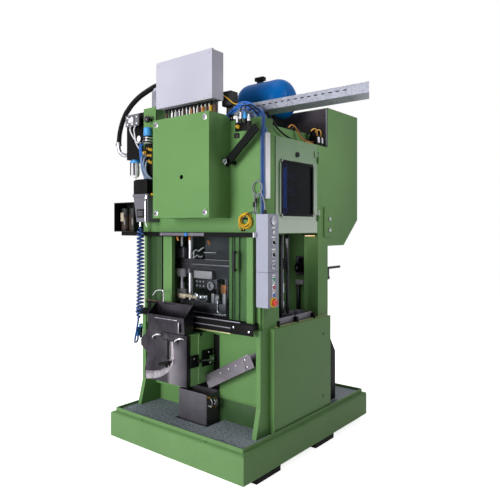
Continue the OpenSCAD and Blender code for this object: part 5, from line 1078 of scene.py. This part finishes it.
# %% Sill, trays and clamps
sill = slab((540, -386, 886), (556, 276, 899.6), 2)
strip = slab((548, -384, 899), (556.5, 274, 905), 1)
TRAY_BACK, TRAY_FRONT, TRAY_FOOT, TRAY_TOP, SHEET = 384, 534, 901, 948, 4
trays = []
for y0, y1 in ((-330, -118), (-104, 96)):
    pan = slab((TRAY_BACK, y0, TRAY_FOOT), (TRAY_FRONT, y1, TRAY_FOOT + 3), 1)
    front = slab((TRAY_FRONT - SHEET, y0, TRAY_FOOT), (TRAY_FRONT, y1, TRAY_TOP), 1)
    back = slab((TRAY_BACK, y0, TRAY_FOOT), (TRAY_BACK + SHEET, y1, TRAY_TOP), 1)
    sides = [slab((TRAY_BACK, y, TRAY_FOOT), (TRAY_FRONT, y + SHEET, TRAY_TOP), 1) for y in (y0, y1 - SHEET)]
    trays += [pan, front, back] + sides
clamps = []
for y in (-340, -121, 100):
    clamps += [slab((530, y - 12, 899.8), (558, y + 12, 938), 3),
               slab((552, y - 8, 872), (562, y + 8, 932), 3)]
latch_plate = [slab((551, -232, 846), (560, -150, 878), 3), slab((551, -90, 842), (561, 40, 866), 4),
               slab((551, 52, 862), (558, 100, 878), 2)]
settle("feed_sill", [tint(sill, green), tint(strip, brass)] + tint_all(trays, dull_tray)
       + tint_all(clamps + latch_plate, black_paint), "press")

# %% [markdown]
# The feed unit shows as dark drums with bright hubs on a plate. They are turned discs of several sizes,
# with a cast arm and a rod in front.

# %% Guide bars and feed mechanism
bars = [slab((404, y, 905), (424, y + w, 1505), 3) for y, w in ((-128, 26), (-44, 20))]
plate = slab((290, 262, 1186), (448, 272, 1332), 4)
lower = slab((286, 255, 1112), (362, 270, 1150), 3)
drums = [turned((x, 262, z), "-y",
                [(0, r - 8), (0, r), (d, r), (d + 3, r - 5), (d + 3, r - 12), (d + 10, r - 16)], 28)
         for x, z, r, d in ((392, 1254, 46, 30), (322, 1244, 34, 22), (346, 1300, 22, 18),
                            (424, 1208, 20, 36))]
hubs = [turned((x, 222, z), "-y", [(0, 8), (0, 13), (8, 13), (10, 9)], 20)
        for x, z in ((400, 1230), (322, 1244), (424, 1208))]
studs = [turned((x, 262, z), "-y", [(0, 5), (0, 8), (6, 8), (8, 4)], 6)
         for x in (302, 436) for z in (1200, 1318)]
arm = slab((380, 226, 1104), (462, 258, 1176), 6)
nudge(arm, lambda v: v.x < 400 and v.z < 1120, (16, 0, 20))
arm_plates = [slab((410, 220, 1112), (486, 226, 1128), 2), slab((440, 218, 1140), (488, 226, 1152), 2)]
rod = hose([(400, 232, 1240), (430, 226, 1196), (452, 222, 1160), (470, 218, 1134)], 9, step=8)
post = slab((300, 250, 905), (322, 270, 1112), 3)
settle("feed_mechanism", tint_all(bars + [post], tool_steel)
       + [tint(plate, bin_steel), tint(lower, light_steel)] + tint_all(drums, black_paint)
       + tint_all(hubs + studs, chrome) + [tint(arm, green)] + tint_all(arm_plates, milky)
       + [tint(rod, black_paint)], "press")

# %% [markdown]
# A black shade holds a glass that glows by itself. The light on the wall comes from feed_light.

# %% Work lamp
shade = slab((470, 70, 1496), (530, 214, 1509.6), 3)
glass = slab((478, 96, 1488), (524, 196, 1497), 3)
settle("work_lamp", [tint(shade, black_paint), tint(glass, warm_lamp)], "press")

# %% [markdown]
# ## Guard rails and tool space
# Behind the clear guard lie the tool plates, with ground edges that catch the light, sleeves on the tie rods,
# the filler box and its arms, plugs that hang under the head, and trim on the rails that carry the guard.
# The latches of the front cover come first. Each is a chrome cup with a slotted bar across.

# %% Quarter-turn latches on the front cover
latches = []
for x, z in ((-202.5, 1650), (258.5, 1650), (-202.5, 2256), (258.5, 2256)):
    cup = turned((x, -728.2, z), "-y", [(0, 14.4), (0, 20), (3, 20), (5, 17), (5, 14.4), (1, 14.4)], 32)
    bar = spin(slab((x - 18, -739, z - 5), (x + 18, -733.6, z + 5), 1.5), 20, "Y", (x, -732, z))
    slot = spin(slab((x - 9, -741, z - 2), (x + 9, -738, z + 2), 0.4), 20, "Y", (x, -732, z))
    latches += [tint(cup, chrome), tint(bar, polish_and_highlight), tint(slot, black_paint)]
settle("cover_latches", latches, "press")

# %% [markdown]
# Rails are bought profiles with cover strips, end caps and bolted joints. Most are slabs on the solid rail.

# %% Rail trim
label_bar = slab((-335, -578, 1495), (104, -575.2, 1516), 1)
joints = [slab((x, -579, 1493), (x + 10, -575.2, 1518), 1) for x in (-320, -12, 90)]
rail_knob = turned((-62, -575.2, 1505), "-y", [(0, 9), (0, 13), (10, 14), (13, 10)], 20)
end_cap = slab((525.2, -576, 1489), (532, -546.5, 1521), 1.5)
top_strip = slab((-120, -577.5, 940), (420, -574.8, 947), 1)
low_strip = slab((-117, -578, 898), (352, -574.8, 904.6), 1)
ledge = slab((-112, -570, 864), (440, -521, 897.6), 3)
ledge_strip = slab((-112, -572.5, 861), (336, -569.5, 867), 1)
end_block = slab((344, -582, 868), (530, -575.2, 936), 4)
end_bolts = [turned((x, -582, z), "-y", [(0, 5), (0, 8), (4, 8), (6, 4)], 6)
             for x, z in ((498, 896), (372, 912))]
settle("rail_trim", [tint(label_bar, pump_grey), tint(rail_knob, blue_plastic), tint(end_cap, white_plastic)]
       + tint_all(joints, dull_tray) + tint_all((top_strip, low_strip), dull_tray)
       + [tint(ledge, black_paint), tint(ledge_strip, brass), tint(end_block, black_paint)]
       + tint_all(end_bolts, chrome), "press")

# %% [markdown]
# Folded sheets of the column stand at different depths. The steps are shallow, so each is a slab in the
# tone that it has in the shade.

# %% Column strips beside the guard
STRIP_FOOT, STRIP_TOP, COLUMN_FACE = 947, 1489, -520.2


def column_strip(left, right, front, edge):
    return slab((left, front, STRIP_FOOT), (right, COLUMN_FACE, STRIP_TOP), edge)


raised = column_strip(-350, -258, -531, 3)
middle_strip = column_strip(-426, -372, -524, 2)
back_panel = column_strip(-545, -428, -522, 0.8)
gap = column_strip(-371, -351, -521.5, 0.4)
seal = column_strip(322, 336, -525, 2)
guide = column_strip(346, 377, -533, 2)
inner = column_strip(288.5, 314, -530, 3)
settle("column_strips", tint_all((raised, inner), green)
       + [tint(back_panel, deep_shade_green), tint(middle_strip, shaded_green), tint(gap, black_paint),
          tint(seal, shaded_green), tint(guide, green)], "press")

# %% [markdown]
# These parts are bolted to the upper tool, so they ride on the ram and move with it.

# %% Ground edges, block and filler parts that ride on the ram
edges = [slab((-330, -433, 1284), (360, -430.2, 1290), 0.8),
         slab((-20, -433, 1322), (360, -430.2, 1328), 0.8)]
front_block = slab((-130, -434, 1188), (44, -401, 1242), 3)
filler = slab((-120, -424, 1116), (86, -402, 1187), 4)
ring = turned((35, -424, 1142), "-y", [(0, 22), (0, 32), (12, 32), (14, 30), (14, 21), (4, 21)], 32)
studs = [turned((x, -424, z), "-y", [(0, 6), (0, 9), (8, 9), (10, 6)], 6)
         for x in (-104, -70, -36) for z in (1134, 1166)]
grey_box = slab((-345, -424, 1327), (-246, -340, 1406), 5)
box_lid = slab((-350, -428, 1398), (-241, -336, 1412), 3)
pipes = [hose([(-140, -424, 1330), (-138, -426, 1372), (-112, -428, 1392), (-84, -428, 1384),
               (-60, -428, 1400), (-36, -426, 1410)], 6, step=6),
         hose([(-128, -430, 1336), (-96, -432, 1352), (-70, -432, 1340), (-44, -430, 1350)], 5, step=6),
         hose([(-33, -426, 1374), (30, -428, 1376), (84, -426, 1377)], 6, step=10)]
# The sleeve takes the near-white milky finish, lighter than its own grey, as painted light in the shade
# behind the guard.
sleeve = turned((-300, -390, 1188), "z", [(0, 27), (0, 40), (58, 40), (60, 37)], 28)
settle("ram_tooling", tint_all(edges, polish_and_highlight)
       + [tint(front_block, light_steel), tint(filler, tool_steel)] + tint_all([ring] + studs, steel)
       + [tint(grey_box, bin_steel), tint(box_lid, tool_steel)] + tint_all(pipes, chrome)
       + [tint(sleeve, milky)], "ram")

# %% [markdown]
# What stands on the die plate stays still: a base with a ground step, arms, rollers, posts and a bent wire.

# %% Filler arms and fittings on the die plate
base = slab((-215, -458, 946), (195, -342, 1026), 4)
step_plate = slab((-215, -461, 946), (195, -457.6, 954), 1)
arms = [slab((-330, -462, 1036), (-190, -448, 1068), 4), slab((-200, -460, 1048), (-78, -446, 1072), 4)]
for arm in arms:
    spin(arm, -4, "Y", (-200, -440, 1056))
# The lower sleeve likewise takes the milky finish, lighter than its own grey, as painted light.
lower_sleeve = turned((-300, -390, 1020), "z", [(0, 27), (0, 40), (74, 40), (76, 37)], 28)
roller_plate = slab((-116, -445, 1022), (6, -440, 1072), 1.5)
rollers = [turned((x, -444, z), "-y", [(0, 10), (0, r), (12, r), (14, r - 4)], 24)
           for x, z, r in ((-92, 1062, 22), (-52, 1052, 18), (-14, 1056, 16))]
posts = [slab((60, -456, 1022), (86, -441, 1092), 3), slab((96, -456, 1022), (128, -441, 1082), 3),
         slab((164, -456, 1022), (192, -441, 1100), 3)]
copper_part = slab((148, -456, 1096), (196, -441, 1160), 5)
bent_wire = hose([(126, -450, 1056), (129, -464, 1044), (130, -466, 1000), (132, -466, 976), (144, -466, 962),
                  (172, -466, 958), (200, -462, 958), (204, -448, 960)], 5, step=6)
settle("die_fittings", [tint(base, tool_steel), tint(step_plate, polish_and_highlight)] + tint_all(arms, beige)
       + [tint(lower_sleeve, milky)] + tint_all(rollers + [roller_plate], steel)
       + tint_all(posts, light_steel) + [tint(copper_part, copper), tint(bent_wire, chrome)],
       "press")

# %% [markdown]
# Plugs hang on short leads that enter the underside of the head. Each lead leaves its plug along the plug's
# slant.

# %% Plugs under the head
hanging = []
for x, z, dx in ((-375, 1445, 30), (-226, 1469, -20), (-108, 1472, 26), (84, 1444, -30)):
    plug = turned((x, -500, z), (dx / 60, 0, 1),
                  [(-12, 5), (-12, 7.5), (-2, 7.5), (0, 9), (12, 9), (14, 6.5), (22, 5.5)], 12)
    lead = hose([(x + dx * 0.4, -500, z + 22), (x + dx * 0.9, -496, z + 36), (x + dx * 1.6, -490, 1494),
                 (x + dx * 2, -486, 1509.5)], 4.5, step=5)
    hanging += [tint(plug, orange), tint(lead, black_plastic)]
settle("hanging_plugs", hanging, "press")

# %% [markdown]
# ## Control pendant
# Each control is a bought-in unit: a chrome bezel, a cap or knob, and an unprinted label plate. The stop
# button stands on a yellow ring. The gauge has a white dial with bare ticks.

# %% Bezels, labels, gauge and lamp
FACE, MID, GAUGE_Z, LENS_Z = 620.0, -489.0, 1595, 1522
bezels = [turned((FACE, MID, z), "x", [(0, 13.4), (0, 18.5), (4, 18), (6, 15.5), (6, 13.4), (0.5, 13.4)], 32)
          for z in (1458, 1381, 1309, 1228, 1178, 1128)]
plates = []
for z, h in ((1550, 16), (1491, 16), (1414, 20), (1342, 12), (1253, 12), (1203, 12), (1153, 12)):
    plates.append(tint(slab((FACE, MID - 24, z - h / 2), (FACE + 1.6, MID + 24, z + h / 2), 0.6), label_grey))
    plates.append(tint(slab((FACE + 1, MID - 19, z - h / 3.4), (FACE + 2.2, MID + 19, z + h / 3.4), 0.3),
                       white_plastic))
stop_ring = turned((FACE, MID, 1082), "x", [(0, 22.5), (0, 34), (5, 33), (7, 28), (7, 22.5), (0.5, 22.5)], 40)
rim = turned((FACE, MID, GAUGE_Z), "x", [(0, 22), (0, 29), (8, 29), (11, 26), (11, 24), (6, 24)], 40)
dial = turned((FACE + 3, MID, GAUGE_Z), "x", [(0, 20), (0, 23.6), (3.2, 23.6)], 40)


def on_dial(degrees, reach, height):
    turn = math.radians(degrees)
    return (FACE + height, MID + reach * math.sin(turn), GAUGE_Z + reach * math.cos(turn))


ticks = [turned(on_dial(a, 18, 6), "x", [(0, 1), (0, 1.7), (0.8, 1.7)], 8) for a in range(-135, 136, 30)]
needle = slab((FACE + 6.4, MID - 1, GAUGE_Z - 4), (FACE + 7.2, MID + 1, GAUGE_Z + 17), 0.2)
spin(needle, 35, "X", (FACE, MID, GAUGE_Z))
arc = hose([on_dial(a, 12, 6.4) for a in range(-120, 121, 20)], 1.4, step=2, sides=8)
lens_rim = turned((FACE, MID, LENS_Z), "x", [(0, 11), (0, 15), (5, 14.5), (7, 12), (7, 10)], 28)
lens = turned((FACE + 5, MID, LENS_Z), "x", [(0, 9), (0, 11), (4, 10), (6, 6), (6.8, 2)], 28)
seams = [tint(slab((527, -545.8, 1270.5), (621, -544.9, 1273.5), 0.2), pump_grey),
         tint(slab((619.9, -545.5, 1270.5), (620.8, -433, 1273.5), 0.2), pump_grey)]
settle("pendant_controls", tint_all(bezels, chrome) + plates + seams
       + [tint(stop_ring, signal_yellow), tint(rim, chrome), tint(dial, white_plastic)]
       + tint_all(ticks, black_plastic) + [tint(needle, caps["estop_button"]), tint(arc, bright_blue)]
       + [tint(lens_rim, chrome), tint(lens, milky)], "press", ["pendant_fittings"])

# %% [markdown]
# Knobs and key turn with their own bodies, so each is a piece by itself. A white mark shows a knob's turn.

# %% Selectors and key
for name, node, body, z in (("selector_knob_1", "selector_upper", "selector_1", 1458),
                            ("selector_knob_2", "selector_lower", "selector_2", 1381)):
    barrel = turned((602, MID, z), "x", [(0, 10), (0, 12), (21, 12), (23, 11), (26, 11)], 32)
    wing = slab((FACE + 5, MID - 4, z - 11), (FACE + 20, MID + 4, z + 11), 2.5)
    mark = slab((FACE + 12, MID - 1, z + 2), (FACE + 20.4, MID + 1, z + 10.6), 0.4)
    settle(name, [tint(barrel, black_gloss), tint(wing, black_gloss), tint(mark, white_plastic)], body,
           [node])
barrel = turned((602, MID, 1309), "x",
                [(0, 10), (0, 12), (20, 12), (22, 10.5), (25, 10.5), (25, 7), (23, 7)], 32)
bow = turned((FACE + 14, MID - 1.5, 1309), "y", [(0, 4.5), (0, 8), (3, 8), (3, 4.5), (0.1, 4.5)], 24)
blade = slab((FACE + 2, MID - 1.2, 1306), (FACE + 9, MID + 1.2, 1312), 0.4)
settle("key_and_barrel", tint_all((barrel, bow, blade), chrome), "key", ["key_switch"])

# %% [markdown]
# ## Inspection window
# The pane is held in a black rubber profile with small corner clips. A blue air pipe runs behind the glass.

# %% Window rubber, clips and the pipe behind
Y0, Y1, Z0, Z1 = -315, 69, 1637, 1993
rubber_bars = [slab((556.4, Y0 - 10, Z0 - 10), (566, Y0 + 8, Z1 + 10), 4),
               slab((556.4, Y1 - 8, Z0 - 10), (566, Y1 + 10, Z1 + 10), 4),
               slab((556.4, Y0 - 10, Z0 - 10), (566, Y1 + 10, Z0 + 8), 4),
               slab((556.4, Y0 - 10, Z1 - 8), (566, Y1 + 10, Z1 + 10), 4)]
clips = [turned((566, y, z), "x", [(0, 4), (0, 7), (3, 6.5), (4, 3)], 6)
         for y in (Y0 - 1, Y1 + 1) for z in (Z0 - 1, Z1 + 1)]
settle("window_rubber", tint_all(rubber_bars, rubber) + tint_all(clips, steel), "window")
pipe = hose([(486, -205, 1600), (486, -205, 1700), (486, -204, 1850), (486, -205, 2040)],
            34, step=30, sides=20)
collars = [turned((486, -205, z), "z", [(0, 36), (0, 44), (24, 44), (26, 40)], 24) for z in (1660, 1960)]
brackets = [slab((430, -120, z), (470, 30, z + 40), 4) for z in (1680, 1790, 1900)]
settle("inner_air_pipe", [tint(pipe, bright_blue)] + tint_all(collars, pipe_blue)
       + tint_all(brackets, tool_steel), "press")
